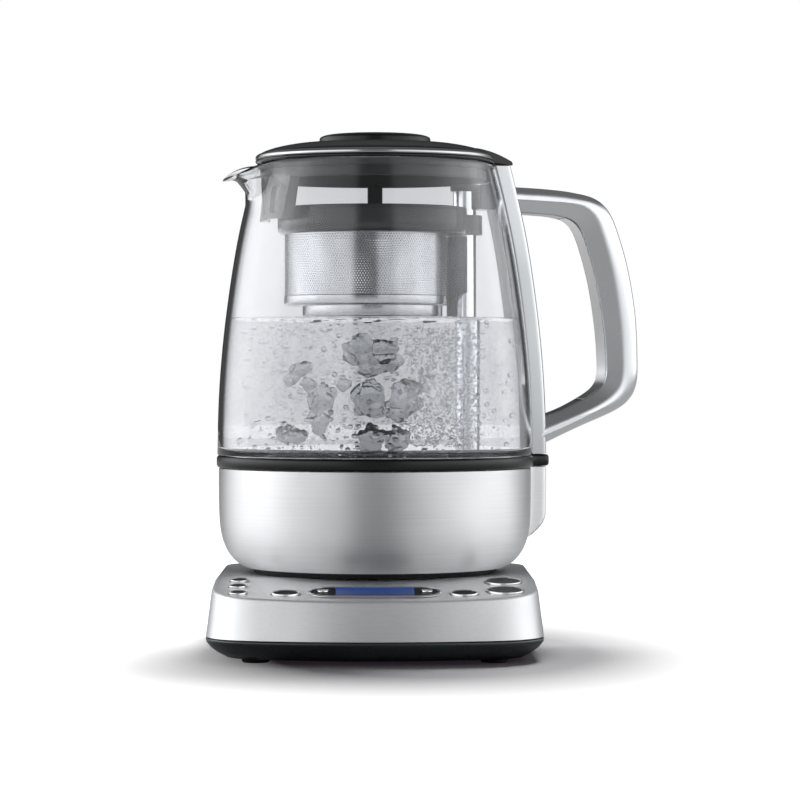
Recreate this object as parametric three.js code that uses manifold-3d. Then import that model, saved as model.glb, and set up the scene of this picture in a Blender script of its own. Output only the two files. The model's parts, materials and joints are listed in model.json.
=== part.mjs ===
// Automatic tea maker: a glass jug with a driven tea basket, standing on a power base.
// Millimetres, +Z up, the control panel faces -Y, the origin is under the middle of the base.
import * as THREE from "three";
import { mergeVertices } from "three/addons/utils/BufferGeometryUtils.js";
import Module from "manifold-3d";

const wasm = await Module();
wasm.setup();

// Fits: the gap between pieces that touch, and how far a cutter passes a surface
const fit = 0.3;
const overrun = 4;

// Sides of round pieces, and steps along curves
const fineSides = 36;
const roundSides = 24;
const smallSides = 14;
const tinySides = 8;
const cornerSteps = 4;
const handleOuterSteps = 30;
const handleInnerSteps = 26;

// Base: plan, heights and walls
const baseHalfWidth = 82;
const baseFront = 112;
const baseRear = 85;
const baseBow = 16;
const baseCorner = 26;
const baseTaper = 2.4;
const shellWall = 1.2;
const sideHeight = 18.7;
const panelRun = 64;
const panelRise = 7.3;
const tubDepth = 9.7;
const tubWall = 2;
const tubChamferIn = 10;
const tubChamferUp = 8;

// Feet and screws of the base
const footRadius = 7;
const footHeight = 2;
const footStemRadius = 2.5;
const screwRadius = 1.5;
const screwHeadRadius = 3;
const screwHeadHeight = 2;
const screwPostRadius = 4.5;
const screwBossHeight = 4;

// Boards
const boardThickness = 1.6;
const boardDepth = 9;
const boardInset = 6;
const boardPostRadius = 2.5;
const powerBoardWidth = 90;
const powerBoardLength = 46;
const powerPostHeight = 4;
const transformerSize = 26;
const relaySize = 12;

// Connector tower and the socket in the jug that goes over it
const towerRadius = 18;
const towerHeight = 21.7;
const towerFlangeRadius = 24;
const towerFlangeHeight = 1.6;
const towerStemRadius = 15;
const towerStemLength = 7;
const contactPinRadius = 2.5;
const contactPinHeight = 1.6;
const socketWall = 2.6;
const socketTopWall = 4;
const socketFlange = 3.5;
const socketFlangeHeight = 2;

// Display on the panel
const displayWidth = 25;
const displayRise = 1.2;
const displaySpacing = 3.65;
const windowSpacing = 3.3;
const windowWidth = 20.4;
const windowThickness = 1;

// Buttons
const buttonTravel = 1.2;
const buttonRise = 1;
const buttonGap = 0.4;
const buttonFlange = 0.8;
const buttonFlangeHeight = 0.8;
const buttonEdge = 0.4;
const buttonStemRadius = 1.4;
const switchSize = 6;
const switchHeight = 3.5;
const smallButtonRadius = 4.5;
const endButtonRadius = 2.7;
const mediumButtonRadius = 6.9;
const bigButtonRadius = 9.15;
const bigButtonMargin = 10.15;
const smallButtonMargin = 15.5;
const warmButtonStep = 0.8;
const endButtonInset = 7.25;
const buttonSpacing = 3.85;

// Cord gland in the rear wall
const glandHeight = 20;
const glandRadius = 6;
const glandBore = 3.4;
const glandFlange = 2.2;
const glandFlangeThickness = 1.8;
const glandLength = 9;

// Jug body: the handle points along +X of the jug, turned from the base's +X
const jugAngle = THREE.MathUtils.degToRad(17);
const jugFootStep = 5;
const jugFootFlare = 2;
const jugFootWall = 5;
const coverThickness = 2;
const footRingHeight = 3.2;
const skirtInset = 0.8;
const skirtHeight = 50;
const skirtTuck = 13.2;
const skirtWall = 1.2;
const bandProud = 0.3;
const bandHeight = 6;
const bumpReach = 10.6;
const bumpHalfWidth = 10.5;
const bumpCorner = 3.5;
const bumpDrop = 41;

// Glass
const glassRadius = 80;
const glassHeight = 147.2;
const glassWall = 2.6;
const neckInset = 2.7;
const neckDepth = 11.5;
const spoutReach = 19.5;
const spoutDrop = 10;
const spoutFoot = 20.5;
const spoutHalfAngle = THREE.MathUtils.degToRad(34);

// Heating plate and what hangs under it
const sealHeight = 3.4;
const plateThickness = 1.5;
const elementGap = 2;
const elementTubeRadius = 3.2;
const elementLegLength = 9;
const probeRadius = 2.5;
const probeGap = 1.8;
const probeRise = 4;
const probeFlange = 2.5;
const probeLength = 9;
const motorRadius = 11;
const motorLength = 26;
const motorFlange = 2;
const motorBoreDepth = 8;

// Basket drive
const columnFromRim = 12.28;
const columnRadius = 6;
const columnWall = 1;
const columnBelowRim = 12;
const columnSealWall = 2.7;
const columnSealHeight = 3;
const screwRodRadius = 2.2;
const nutHeight = 8;
const magnetHeight = 16;
const headHalfWidth = 9;
const headArmRadius = 7.3;
const headTopBelowRim = 9.8;
const headArmHeight = 3.4;
const headBlockHeight = 12.5;
const headBlockStep = 5.8;

// Handle
const spineThickness = 9.5;
const spineHalfWidth = 10;
const spineEdge = 1.6;
const handleDepth = 51.2;
const handleBaseRise = 6.8;
const handleTopDrop = 10.3;
const handleHalfWidth = 10;
const handleEdge = 4;
const insertHalfWidth = 6;
const insertThickness = 1.6;
const insertStartSteps = 5;
const insertEndSteps = 7;
const handleScrewRadius = 2;
const handleScrewHead = 3.2;
const handleScrewHeadHeight = 2.6;
const upperScrewBelowRim = 17.5;
const lowerScrewGrip = 14;

// Lid
const lidProud = 0.12;
const lidRimHeight = 1.6;
const trimHeight = 2.9;
const trimDepth = 2.6;
const lidDomeHeight = 11.2;
const lidWall = 2.5;
const lidSkirt = 7;
const tabLip = 0.52;
const tabHalfWidth = 9.6;
const tabHeight = 3.2;
const hoodHeight = 6.3;
const knobGap = 0.9;
const knobHeight = 5.4;
const knobSink = 2.1;
const knobStemRadius = 6;
const knobStemLength = 5;
const collarGap = 1.38;
const collarWall = 2;
const collarHeight = 9;
const collarLegDrop = 20;
const collarLegTopHalf = 29;
const collarLegFootHalf = 24.8;
const slotWidth = 8.5;
const slotHeight = 13;
const slotLean = 4.5;
const slotReach = 12;
const slotTopDrop = 4;
const filterThickness = 0.6;
const filterHalfWidth = 21;
const lidSealHeight = 3;
const lidSealDrop = 1;

// Tea basket
const basketDrop = 22.5;
const ringClearance = 5;
const ringHeight = 13.5;
const ringOffset = 1.4;
const ringWall = 1.8;
const cupOffset = 4.9;
const cupWall = 0.8;
const cupHeight = 38.3;
const cupLip = 1.5;
const cupLipHeight = 1.5;
const ringShelf = 2;
const tierStep = 5.5;
const tierOffset = 1.3;
const tierHeight = 5.7;
const basketFootRing = 1.5;
const basketFootWidth = 4;
const basketFootHeight = 1.1;
const basketFootCount = 6;
const sleeveWall = 3;
const sleeveHeight = 10.2;
const sleeveDrop = 2.8;
const bracketLength = 32.5;
const bracketLegLength = 10;
const bracketLegHalf = 3.6;
const bracketSetback = 1.8;
const magnetWall = 1.4;
const magnetFoot = 8;
const coverPlate = 2;
const coverRimWall = 2.4;
const coverSink = 1;
const postRadius = 3.8;
const postHeight = 13;
const postSpigotRadius = 2;
const postSpigotLength = 1.4;

// Heights that follow from the sizes above
const tubTop = footHeight + tubDepth;
const shellBottom = tubTop + fit;
const panelFrontZ = shellBottom + sideHeight;
const seatZ = panelFrontZ + panelRise;
const jugFootZ = seatZ + fit;
const coverBottom = jugFootZ + footRingHeight;
const coverTop = coverBottom + coverThickness;
const skirtBottom = coverBottom - fit;
const skirtTop = skirtBottom + skirtHeight;
const bandBottom = skirtTop + fit;
const bandTop = bandBottom + bandHeight;
const glassFoot = bandTop + fit;
const glassBottom = glassFoot - neckDepth;
const rimZ = glassFoot + glassHeight;
const neckRadius = glassRadius - neckInset;
const plateTop = glassBottom - sealHeight - fit - fit;
const plateBottom = plateTop - plateThickness;
const columnBottom = plateTop + fit;
const columnTop = rimZ - columnBelowRim;
const headTop = rimZ - headTopBelowRim;
const lidSeat = rimZ + fit;
const collarTop = lidSeat - fit;
const collarBottom = collarTop - collarHeight;
const ringTop = rimZ - basketDrop;
const ringBottom = ringTop - ringHeight;
const cupLipBottom = ringBottom + ringShelf + fit;
const cupLipTop = cupLipBottom + cupLipHeight;
const cupBottom = cupLipBottom - cupHeight;
const columnClear = columnRadius + fit;
const sleeveRadius = columnClear + sleeveWall;
const creaseY = panelRun - baseFront;
const panelLength = Math.hypot(panelRun, panelRise);
const panelAngle = Math.atan2(panelRise, panelRun);
const bigButtonX = baseHalfWidth - bigButtonMargin - bigButtonRadius;
const mediumButtonX = bigButtonX - bigButtonRadius - buttonSpacing - mediumButtonRadius;
const smallButtonX = baseHalfWidth - smallButtonMargin;
const displayLength = (mediumButtonX - mediumButtonRadius - displaySpacing) * 2;
const endButtonX = displayLength / 2 - endButtonInset;
const windowLength = (endButtonX - endButtonRadius - windowSpacing) * 2;
const towerTop = seatZ + towerHeight;
const socketInner = towerRadius + fit;
const socketOuter = socketInner + socketWall;
const skirtRadius = glassRadius - skirtInset;
const skirtFootRadius = skirtRadius - skirtTuck;
const jugFootRadius = skirtFootRadius - jugFootStep;
const bandRadius = glassRadius + bandProud;
const lowerScrewReach = skirtRadius + bumpReach / 2;
const handleHeight = glassHeight - handleBaseRise - handleTopDrop;

// The visible glass: share of its height against share of its radius
const glassShares = [
  [0, 1],
  [0.19, 0.991],
  [0.37, 0.967],
  [0.55, 0.927],
  [0.72, 0.877],
  [0.865, 0.819],
  [1, 0.756],
];

// Radii that follow from the glass's rim
const rimShare = glassShares.at(-1)[1];
const rimRadius = glassRadius * rimShare;
const lidRadius = rimRadius + lidProud;
const tabReach = rimRadius + fit + spineThickness + tabLip;
const collarRadius = rimRadius - glassWall - collarGap;
const ringRadius = collarRadius - collarWall - ringOffset - ringClearance;
const cupRadius = ringRadius - (cupOffset - ringOffset) - ringWall - fit - cupLip;
const tierRadius = cupRadius - tierStep;
const columnReach = rimRadius - columnFromRim;
const headBlockReach = columnReach + headBlockStep;
const elementRadius = columnReach - motorRadius - motorFlange - elementTubeRadius - elementGap;
const probeReach = elementRadius - elementTubeRadius - probeFlange - probeRadius - probeGap;

// The steel skirt below its straight part: share of its height against share of the way in to its foot
const skirtShares = [
  [0, 1],
  [0.06, 0.64],
  [0.14, 0.38],
  [0.22, 0.227],
  [0.3, 0.121],
  [0.46, 0.03],
  [0.7, 0],
  [1, 0],
];

// The handle's outer and inner edges: shares of its depth and of its height
const handleOuterShares = [
  [-0.36, 1],
  [0, 0.994],
  [0.265, 0.984],
  [0.526, 0.961],
  [0.687, 0.91],
  [0.793, 0.818],
  [0.898, 0.679],
  [0.976, 0.503],
  [1, 0.334],
  [0.992, 0.23],
  [0.918, 0.164],
  [0.747, 0.1145],
  [0.3655, 0.0515],
  [-0.1, -0.03],
];
const handleInnerShares = [
  [-0.36, 0.897],
  [0.104, 0.887],
  [0.275, 0.868],
  [0.371, 0.829],
  [0.456, 0.745],
  [0.546, 0.614],
  [0.614, 0.449],
  [0.641, 0.3105],
  [0.6305, 0.245],
  [0.562, 0.203],
  [0.4056, 0.163],
  [0.185, 0.1207],
  [-0.1, 0.085],
];

// The lid's dome outside its trim: share of its radius against share of its height above the trim
const domeShares = [
  [0.48, 1],
  [0.72, 0.87],
  [0.86, 0.56],
  [0.945, 0.17],
];
const knobRadius = lidRadius * domeShares[0][0] - knobGap;

// Buttons: places across the panel, and shares of the panel's length from its front edge
const displayShare = 0.367;
const buttons = [
  { name: "warm_button", x: warmButtonStep - smallButtonX, runShare: 0.368, radius: smallButtonRadius },
  { name: "clock_button", x: -smallButtonX, runShare: 0.641, radius: smallButtonRadius },
  { name: "auto_start_button", x: -smallButtonX, runShare: 0.884, radius: smallButtonRadius },
  { name: "water_button", x: -mediumButtonX, runShare: 0.343, radius: mediumButtonRadius },
  { name: "tea_button", x: mediumButtonX, runShare: 0.343, radius: mediumButtonRadius },
  { name: "down_button", x: -endButtonX, runShare: displayShare, radius: endButtonRadius, inDisplay: true },
  { name: "up_button", x: endButtonX, runShare: displayShare, radius: endButtonRadius, inDisplay: true },
  { name: "start_button", x: bigButtonX, runShare: 0.453, radius: bigButtonRadius },
  { name: "basket_button", x: bigButtonX, runShare: 0.828, radius: bigButtonRadius },
];

// Board posts: shares of the base's half width and of the panel's length
const boardPostShares = [
  [-0.62, 0.75],
  [0.52, 0.75],
  [-0.62, 0.22],
  [0.62, 0.22],
];

// Places in the base's plan: shares of its half width, and of its front or rear reach
const footShares = [
  [-0.7, -0.74],
  [0.7, -0.74],
  [-0.7, 0.72],
  [0.7, 0.72],
];
const screwShares = [
  [-0.8, -0.34],
  [0.8, -0.34],
  [-0.76, 0.4],
  [0.76, 0.4],
];
const powerPostShares = [
  [-0.42, -0.4],
  [0.42, -0.4],
  [-0.42, 0.4],
  [0.42, 0.4],
];

// Joins and cuts: geometry in, geometry out
function bodyOf(geometry) {
  const bare = geometry.clone();
  bare.deleteAttribute("normal");
  bare.deleteAttribute("uv");
  const merged = mergeVertices(bare, 1e-4);
  const corners = merged.index.array;
  const kept = [];
  for (let i = 0; i < corners.length; i += 3) {
    const [a, b, c] = corners.slice(i, i + 3);
    if (a !== b && b !== c && c !== a) kept.push(a, b, c);
  }
  const vertProperties = merged.attributes.position.array;
  return new wasm.Manifold(new wasm.Mesh({ numProp: 3, vertProperties, triVerts: new Uint32Array(kept) }));
}

function geometryOf(body) {
  const mesh = body.getMesh();
  const geometry = new THREE.BufferGeometry();
  geometry.setAttribute("position", new THREE.BufferAttribute(mesh.vertProperties, 3));
  geometry.setIndex(new THREE.BufferAttribute(mesh.triVerts, 1));
  return geometry;
}

function join(...geometries) {
  return geometryOf(geometries.map(bodyOf).reduce((a, b) => a.add(b)));
}

function cut(geometry, ...cutters) {
  return geometryOf(cutters.map(bodyOf).reduce((a, b) => a.subtract(b), bodyOf(geometry)));
}

function common(a, b) {
  return geometryOf(bodyOf(a).intersect(bodyOf(b)));
}

// A closed profile of [radius, height] points turned about the Z axis
function turned(profile, sides) {
  const points = profile.map(([r, z]) => new THREE.Vector2(r, z));
  if (THREE.ShapeUtils.area(points) < 0) points.reverse();
  points.push(points[0].clone());
  return new THREE.LatheGeometry(points, sides).rotateX(Math.PI / 2);
}

function disc(radius, z0, z1, sides) {
  const start = Math.min(z0, z1);
  const end = Math.max(z0, z1);
  return turned([[0, start], [radius, start], [radius, end], [0, end]], sides);
}

function ring(inner, outer, z0, z1, sides) {
  return turned([[inner, z0], [outer, z0], [outer, z1], [inner, z1]], sides);
}

// A rod along X instead of Z
function rodAlongX(radius, x0, x1, z, sides) {
  return disc(radius, x0, x1, sides).rotateY(Math.PI / 2).translate(0, 0, z);
}

function box(x0, x1, y0, y1, z0, z1) {
  const geometry = new THREE.BoxGeometry(x1 - x0, y1 - y0, z1 - z0);
  return geometry.translate((x0 + x1) / 2, (y0 + y1) / 2, (z0 + z1) / 2);
}

// An outline of [x, z] points given depth along Y, or of [y, z] points given depth along X
function slabAlongY(outline, halfWidth, edge = 0) {
  const shape = new THREE.Shape(outline.map(([x, z]) => new THREE.Vector2(x, z)));
  const depth = (halfWidth - edge) * 2;
  const options = { depth, bevelEnabled: edge > 0, bevelSize: edge, bevelThickness: edge };
  const slab = new THREE.ExtrudeGeometry(shape, { ...options, bevelOffset: -edge, bevelSegments: 2 });
  return slab.translate(0, 0, -depth / 2).rotateX(Math.PI / 2);
}

function slabAlongX(outline, x0, x1) {
  const shape = new THREE.Shape(outline.map(([y, z]) => new THREE.Vector2(y, z)));
  const slab = new THREE.ExtrudeGeometry(shape, { depth: x1 - x0, bevelEnabled: false });
  slab.applyMatrix4(new THREE.Matrix4().makeBasis(axisY, axisZ, axisX));
  return slab.translate(x0, 0, 0);
}

const axisX = new THREE.Vector3(1, 0, 0);
const axisY = new THREE.Vector3(0, 1, 0);
const axisZ = new THREE.Vector3(0, 0, 1);

// A stack of outlines with equal point counts, closed at both ends
function lofted(levels) {
  const count = levels[0].outline.length;
  const places = levels.flatMap(({ outline, z }) => outline.flatMap((p) => [p.x, p.y, z]));
  const corners = [];
  for (let level = 1; level < levels.length; level += 1) {
    for (let i = 0; i < count; i += 1) {
      const next = (i + 1) % count;
      const low = (level - 1) * count;
      const high = level * count;
      corners.push(low + i, low + next, high + next, low + i, high + next, high + i);
    }
  }
  const top = (levels.length - 1) * count;
  for (const [a, b, c] of THREE.ShapeUtils.triangulateShape(levels[0].outline, [])) {
    corners.push(a, c, b, top + a, top + b, top + c);
  }
  const geometry = new THREE.BufferGeometry();
  geometry.setAttribute("position", new THREE.Float32BufferAttribute(places, 3));
  geometry.setIndex(corners);
  return geometry;
}

// Pieces and their finishes
function finish(color, roughness, metalness, opacity = 1) {
  return { color, roughness, metalness, opacity, transparent: opacity < 1 };
}

const finishes = {
  steel: finish(0xc4c6c9, 0.32, 1),
  brightSteel: finish(0xd8dadc, 0.15, 1),
  silverPlastic: finish(0x9fa3a7, 0.4, 0.4),
  greyPlastic: finish(0x62686d, 0.45, 0),
  blackPlastic: finish(0x14171a, 0.4, 0),
  rubber: finish(0x1c1d1f, 0.8, 0),
  silicone: finish(0xd9dbd8, 0.6, 0),
  glass: finish(0xeef3f4, 0.03, 0, 0.3),
  blueWindow: finish(0x2a3c82, 0.1, 0),
  board: finish(0x1f5a34, 0.6, 0),
  magnet: finish(0x5c5f63, 0.35, 0.9),
  brass: finish(0xb69345, 0.35, 1),
};

function piece(group, name, geometry, finishName) {
  const mesh = new THREE.Mesh(geometry, new THREE.MeshStandardMaterial(finishes[finishName]));
  mesh.name = name;
  group.add(mesh);
}

// Curves that several pieces share
function between(shares, at) {
  const i = Math.max(1, shares.findIndex(([s]) => s >= at));
  const [s0, v0] = shares[i - 1];
  const [s1, v1] = shares[i];
  return v0 + ((v1 - v0) * (at - s0)) / (s1 - s0);
}

function glassOuter(z) {
  const share = THREE.MathUtils.clamp((z - glassFoot) / glassHeight, 0, 1);
  return glassRadius * between(glassShares, share);
}

function glassInner(z) {
  return glassOuter(z) - glassWall;
}

function heights(from, to, steps) {
  return Array.from({ length: steps + 1 }, (_, i) => from + ((to - from) * i) / steps);
}

function planOutline(inset) {
  const half = baseHalfWidth - inset;
  const front = baseFront - inset;
  const rear = baseRear - inset;
  const corner = Math.max(baseCorner - inset, fit);
  const reach = half - corner;
  const bow = baseBow * (reach / half) ** 2;
  const bowY = bow - front;
  const kneeY = bowY + ((bow * 2) / reach) * corner;
  const shape = new THREE.Shape();
  shape.moveTo(-reach, bowY);
  shape.quadraticCurveTo(0, -front - bow, reach, bowY);
  shape.quadraticCurveTo(half, kneeY, half, kneeY + corner);
  shape.lineTo(half, rear - corner);
  shape.absarc(half - corner, rear - corner, corner, 0, Math.PI / 2);
  shape.lineTo(-reach, rear);
  shape.absarc(-reach, rear - corner, corner, Math.PI / 2, Math.PI);
  shape.lineTo(-half, kneeY + corner);
  shape.quadraticCurveTo(-half, kneeY, -reach, bowY);
  const points = shape.getPoints(cornerSteps);
  return points.filter((point, i) => point.distanceTo(points[(i + 1) % points.length]) > fit / 100);
}

// A place in the base's plan from shares of its half width and of its front or rear reach
function planPlace([xShare, yShare]) {
  return [xShare * baseHalfWidth, yShare * (yShare < 0 ? baseFront : baseRear)];
}

// The panel's own frame: X across, Y up the slope from the front edge, Z out of it
const panelMatrix = new THREE.Matrix4().makeRotationX(panelAngle).setPosition(0, -baseFront, panelFrontZ);

function onPanel(geometry) {
  return geometry.applyMatrix4(panelMatrix);
}

function panelPlace([xShare, runShare]) {
  return [xShare * baseHalfWidth, runShare * panelLength];
}

// The display's outline with round ends, drawn in by an inset
function displayStadium(inset, z0, z1) {
  const width = displayWidth - inset * 2;
  const reach = (displayLength - displayWidth) / 2;
  const shape = new THREE.Shape();
  shape.moveTo(-reach, -width / 2);
  shape.lineTo(reach, -width / 2);
  shape.absarc(reach, 0, width / 2, -Math.PI / 2, Math.PI / 2);
  shape.lineTo(-reach, width / 2);
  shape.absarc(-reach, 0, width / 2, Math.PI / 2, Math.PI * 1.5);
  const options = { depth: z1 - z0, bevelEnabled: false, curveSegments: smallSides };
  return new THREE.ExtrudeGeometry(shape, options).translate(0, displayShare * panelLength, z0);
}

// Base
const base = new THREE.Group();

function makeShell() {
  const slope = panelRise / panelRun;
  const lean = baseTaper / sideHeight;
  const sideOf = (drop) => [
    [-baseFront - overrun, shellBottom - overrun],
    [baseRear + overrun, shellBottom - overrun],
    [baseRear + overrun, seatZ - drop],
    [creaseY, seatZ - drop],
    [-baseFront - overrun, seatZ - drop - slope * (panelRun + overrun)],
  ];
  const coreOf = (inset, low) => {
    const high = seatZ + overrun;
    const levels = [low, high].map((z) => ({ z, outline: planOutline(inset + lean * (z - shellBottom)) }));
    const reach = baseHalfWidth + overrun;
    return common(lofted(levels), slabAlongX(sideOf(inset), -reach, reach));
  };
  let shell = cut(coreOf(0, shellBottom), coreOf(shellWall, shellBottom - overrun));
  const posts = screwShares.map((share) => {
    const [x, y] = planPlace(share);
    const low = footHeight + tubWall + screwBossHeight + fit;
    return cut(
      disc(screwPostRadius, low, seatZ - shellWall / 2, tinySides),
      disc(screwRadius + fit, low - overrun, seatZ - shellWall - overrun, tinySides),
    ).translate(x, y, 0);
  });
  const boardPosts = boardPostShares.map((share) => {
    const [x, y] = panelPlace(share);
    return onPanel(disc(boardPostRadius, fit - boardDepth, -shellWall / 2, tinySides).translate(x, y, 0));
  });
  shell = join(shell, ...posts, ...boardPosts);
  const holes = buttons.filter((button) => !button.inDisplay).map((button) => onPanel(buttonHole(button)));
  const displayHole = onPanel(displayStadium(displayRise, -overrun, overrun));
  const towerHole = disc(towerStemRadius + fit, seatZ - overrun, seatZ + overrun, roundSides);
  const gland = disc(glandRadius + fit, baseRear - glandLength, baseRear + overrun, smallSides);
  gland.rotateX(-Math.PI / 2).translate(0, 0, glandHeight);
  piece(base, "base_shell", cut(shell, ...holes, displayHole, towerHole, gland), "steel");
}

function buttonHole({ x, runShare, radius, inDisplay }) {
  const hole = disc(radius + buttonGap, -overrun, overrun, buttonSides(inDisplay));
  return hole.translate(x, runShare * panelLength, 0);
}

function buttonSides(inDisplay) {
  return inDisplay ? tinySides : smallSides;
}

function makeTub() {
  const floor = footHeight + tubWall;
  const sunk = footHeight + tubWall / 2;
  const knee = footHeight + tubChamferUp;
  const outer = lofted([
    { z: footHeight, outline: planOutline(tubChamferIn) },
    { z: knee, outline: planOutline(0) },
    { z: tubTop, outline: planOutline(0) },
  ]);
  const inner = lofted([
    { z: floor, outline: planOutline(tubChamferIn + tubWall) },
    { z: knee, outline: planOutline(tubWall * 1.5) },
    { z: tubTop + overrun, outline: planOutline(tubWall * 1.5) },
  ]);
  const bosses = screwShares.map((share) => {
    const [x, y] = planPlace(share);
    return disc(screwPostRadius, sunk, floor + screwBossHeight, tinySides).translate(x, y, 0);
  });
  const powerPosts = powerPostShares.map(([xShare, yShare]) => {
    const post = disc(boardPostRadius, sunk, floor + powerPostHeight - fit, tinySides);
    return post.translate(xShare * powerBoardWidth, powerBoardY() + yShare * powerBoardLength, 0);
  });
  const low = footHeight - overrun;
  const screwHoles = screwShares.flatMap((share) => {
    const [x, y] = planPlace(share);
    return [
      disc(screwRadius + fit, low, floor + screwBossHeight + overrun, tinySides).translate(x, y, 0),
      disc(screwHeadRadius + fit, low, screwHeadTop() + fit, tinySides).translate(x, y, 0),
    ];
  });
  const footHoles = footShares.map((share) => {
    const [x, y] = planPlace(share);
    return disc(footStemRadius + fit, low, floor + overrun, tinySides).translate(x, y, 0);
  });
  const tub = join(cut(outer, inner), ...bosses, ...powerPosts);
  piece(base, "base_tub", cut(tub, ...screwHoles, ...footHoles), "blackPlastic");
}

function screwHeadTop() {
  return footHeight + fit + screwHeadHeight;
}

function powerBoardY() {
  return (towerStemRadius + baseRear) / 2;
}

function makeFeetAndScrews() {
  footShares.forEach((share, i) => {
    const [x, y] = planPlace(share);
    const top = footHeight - fit;
    const foot = turned(
      [
        [0, 0],
        [footRadius - footHeight / 2, 0],
        [footRadius, footHeight / 2],
        [footRadius, top],
        [footStemRadius, top],
        [footStemRadius, footHeight + tubWall],
        [0, footHeight + tubWall],
      ],
      smallSides,
    );
    piece(base, "foot_" + (i + 1), foot.translate(x, y, 0), "rubber");
  });
  screwShares.forEach((share, i) => {
    const [x, y] = planPlace(share);
    const screw = turned(
      [
        [0, footHeight + fit],
        [screwHeadRadius, footHeight + fit],
        [screwHeadRadius, screwHeadTop()],
        [screwRadius, screwHeadTop()],
        [screwRadius, shellBottom + sideHeight / 2],
        [0, shellBottom + sideHeight / 2],
      ],
      tinySides,
    );
    piece(base, "base_screw_" + (i + 1), screw.translate(x, y, 0), "brightSteel");
  });
}

function makeBoards() {
  const high = -boardDepth;
  const low = high - boardThickness;
  const outline = planOutline(boardInset);
  const plate = lofted([low, high].map((z) => ({ z, outline }))).translate(0, baseFront, 0);
  const reach = baseHalfWidth;
  const window = box(-reach, reach, boardInset, panelLength - boardInset / 2, low - overrun, high + overrun);
  const switches = buttons.map(({ x, runShare, radius }) => {
    const y = runShare * panelLength;
    const half = Math.min(switchSize / 2, radius * 1.2);
    return box(x - half, x + half, y - half, y + half, high - boardThickness / 2, high + switchHeight);
  });
  piece(base, "control_board", onPanel(join(common(plate, window), ...switches)), "board");

  const floor = footHeight + tubWall + powerPostHeight;
  const mid = powerBoardY();
  const halfWidth = powerBoardWidth / 2;
  const halfLength = powerBoardLength / 2;
  const top = floor + boardThickness;
  const sunk = top - boardThickness / 2;
  const core = transformerSize / 2;
  const aside = halfWidth / 2;
  const transformer = box(-aside - core, core - aside, mid - core, mid + core, sunk, top + core);
  const relay = box(aside, aside + relaySize * 1.5, mid, mid + relaySize, sunk, top + relaySize);
  const can = disc(relaySize / 2, sunk, top + relaySize, smallSides).translate(aside, mid - relaySize, 0);
  const slab = box(-halfWidth, halfWidth, mid - halfLength, mid + halfLength, floor, top);
  piece(base, "power_board", join(slab, transformer, relay, can), "board");
}

function makeTower() {
  const flangeTop = seatZ + fit + towerFlangeHeight;
  const tower = turned(
    [
      [0, seatZ - towerStemLength],
      [towerStemRadius, seatZ - towerStemLength],
      [towerStemRadius, seatZ + fit],
      [towerFlangeRadius, seatZ + fit],
      [towerFlangeRadius, flangeTop],
      [towerRadius, flangeTop],
      [towerRadius, towerTop - towerFlangeHeight],
      [towerRadius - towerFlangeHeight, towerTop],
      [contactPinRadius * 2, towerTop],
      [contactPinRadius * 2, towerTop - contactPinHeight],
      [contactPinRadius, towerTop - contactPinHeight],
      [contactPinRadius, towerTop + contactPinHeight],
      [0, towerTop + contactPinHeight],
    ],
    roundSides,
  );
  piece(base, "connector_tower", tower, "blackPlastic");
}

function makeGland() {
  const wallOut = baseRear + fit;
  const wallIn = baseRear - shellWall * 2 - baseTaper;
  const back = wallOut + glandFlangeThickness;
  const front = wallIn - glandLength;
  const gland = turned(
    [
      [glandBore, front],
      [glandRadius, front],
      [glandRadius, wallOut],
      [glandRadius + glandFlange, wallOut],
      [glandRadius + glandFlange, back],
      [glandBore, back],
    ],
    smallSides,
  );
  gland.rotateX(-Math.PI / 2).translate(0, 0, glandHeight);
  piece(base, "cord_gland", gland, "rubber");
}

function makeDisplay() {
  const frameFlange = displayStadium(0, fit, displayRise);
  const plug = displayStadium(displayRise + fit, -shellWall * 2, displayRise);
  const y = displayShare * panelLength;
  const halfLength = windowLength / 2;
  const halfWidth = windowWidth / 2;
  const shelf = displayRise - windowThickness - fit;
  const windowBox = (grow, z0, z1) => {
    const across = halfLength + grow;
    const along = halfWidth + grow;
    return box(-across, across, y - along, y + along, z0, z1);
  };
  const pocket = windowBox(fit, shelf, displayRise + overrun);
  const sight = windowBox(-fit * 2, -overrun, overrun);
  const ends = buttons.filter((button) => button.inDisplay).map(buttonHole);
  piece(base, "display_frame", onPanel(cut(join(frameFlange, plug), pocket, sight, ...ends)), "blackPlastic");
  piece(base, "display_window", onPanel(windowBox(0, shelf + fit, displayRise)), "blueWindow");
}

function makeButtons() {
  for (const { name, x, runShare, radius, inDisplay } of buttons) {
    const under = inDisplay ? -shellWall * 2 - fit : -shellWall - fit;
    const top = inDisplay ? displayRise + buttonRise / 2 : buttonRise;
    const flange = radius + buttonFlange;
    const stemFoot = switchHeight + buttonTravel + fit - boardDepth;
    const button = turned(
      [
        [0, stemFoot],
        [buttonStemRadius, stemFoot],
        [buttonStemRadius, under - buttonFlangeHeight],
        [flange, under - buttonFlangeHeight],
        [flange, under],
        [radius, under],
        [radius, top - buttonEdge],
        [radius - buttonEdge, top],
        [0, top],
      ],
      buttonSides(inDisplay),
    );
    const look = radius < mediumButtonRadius ? "brightSteel" : "blackPlastic";
    piece(base, name, onPanel(button.translate(x, runShare * panelLength, 0)), look);
  }
}

// Jug: everything here has the handle along +X
const jug = new THREE.Group();
jug.rotation.z = jugAngle;

function skirtRadiusAt(share) {
  return skirtRadius - (skirtRadius - skirtFootRadius) * between(skirtShares, share);
}

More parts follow.
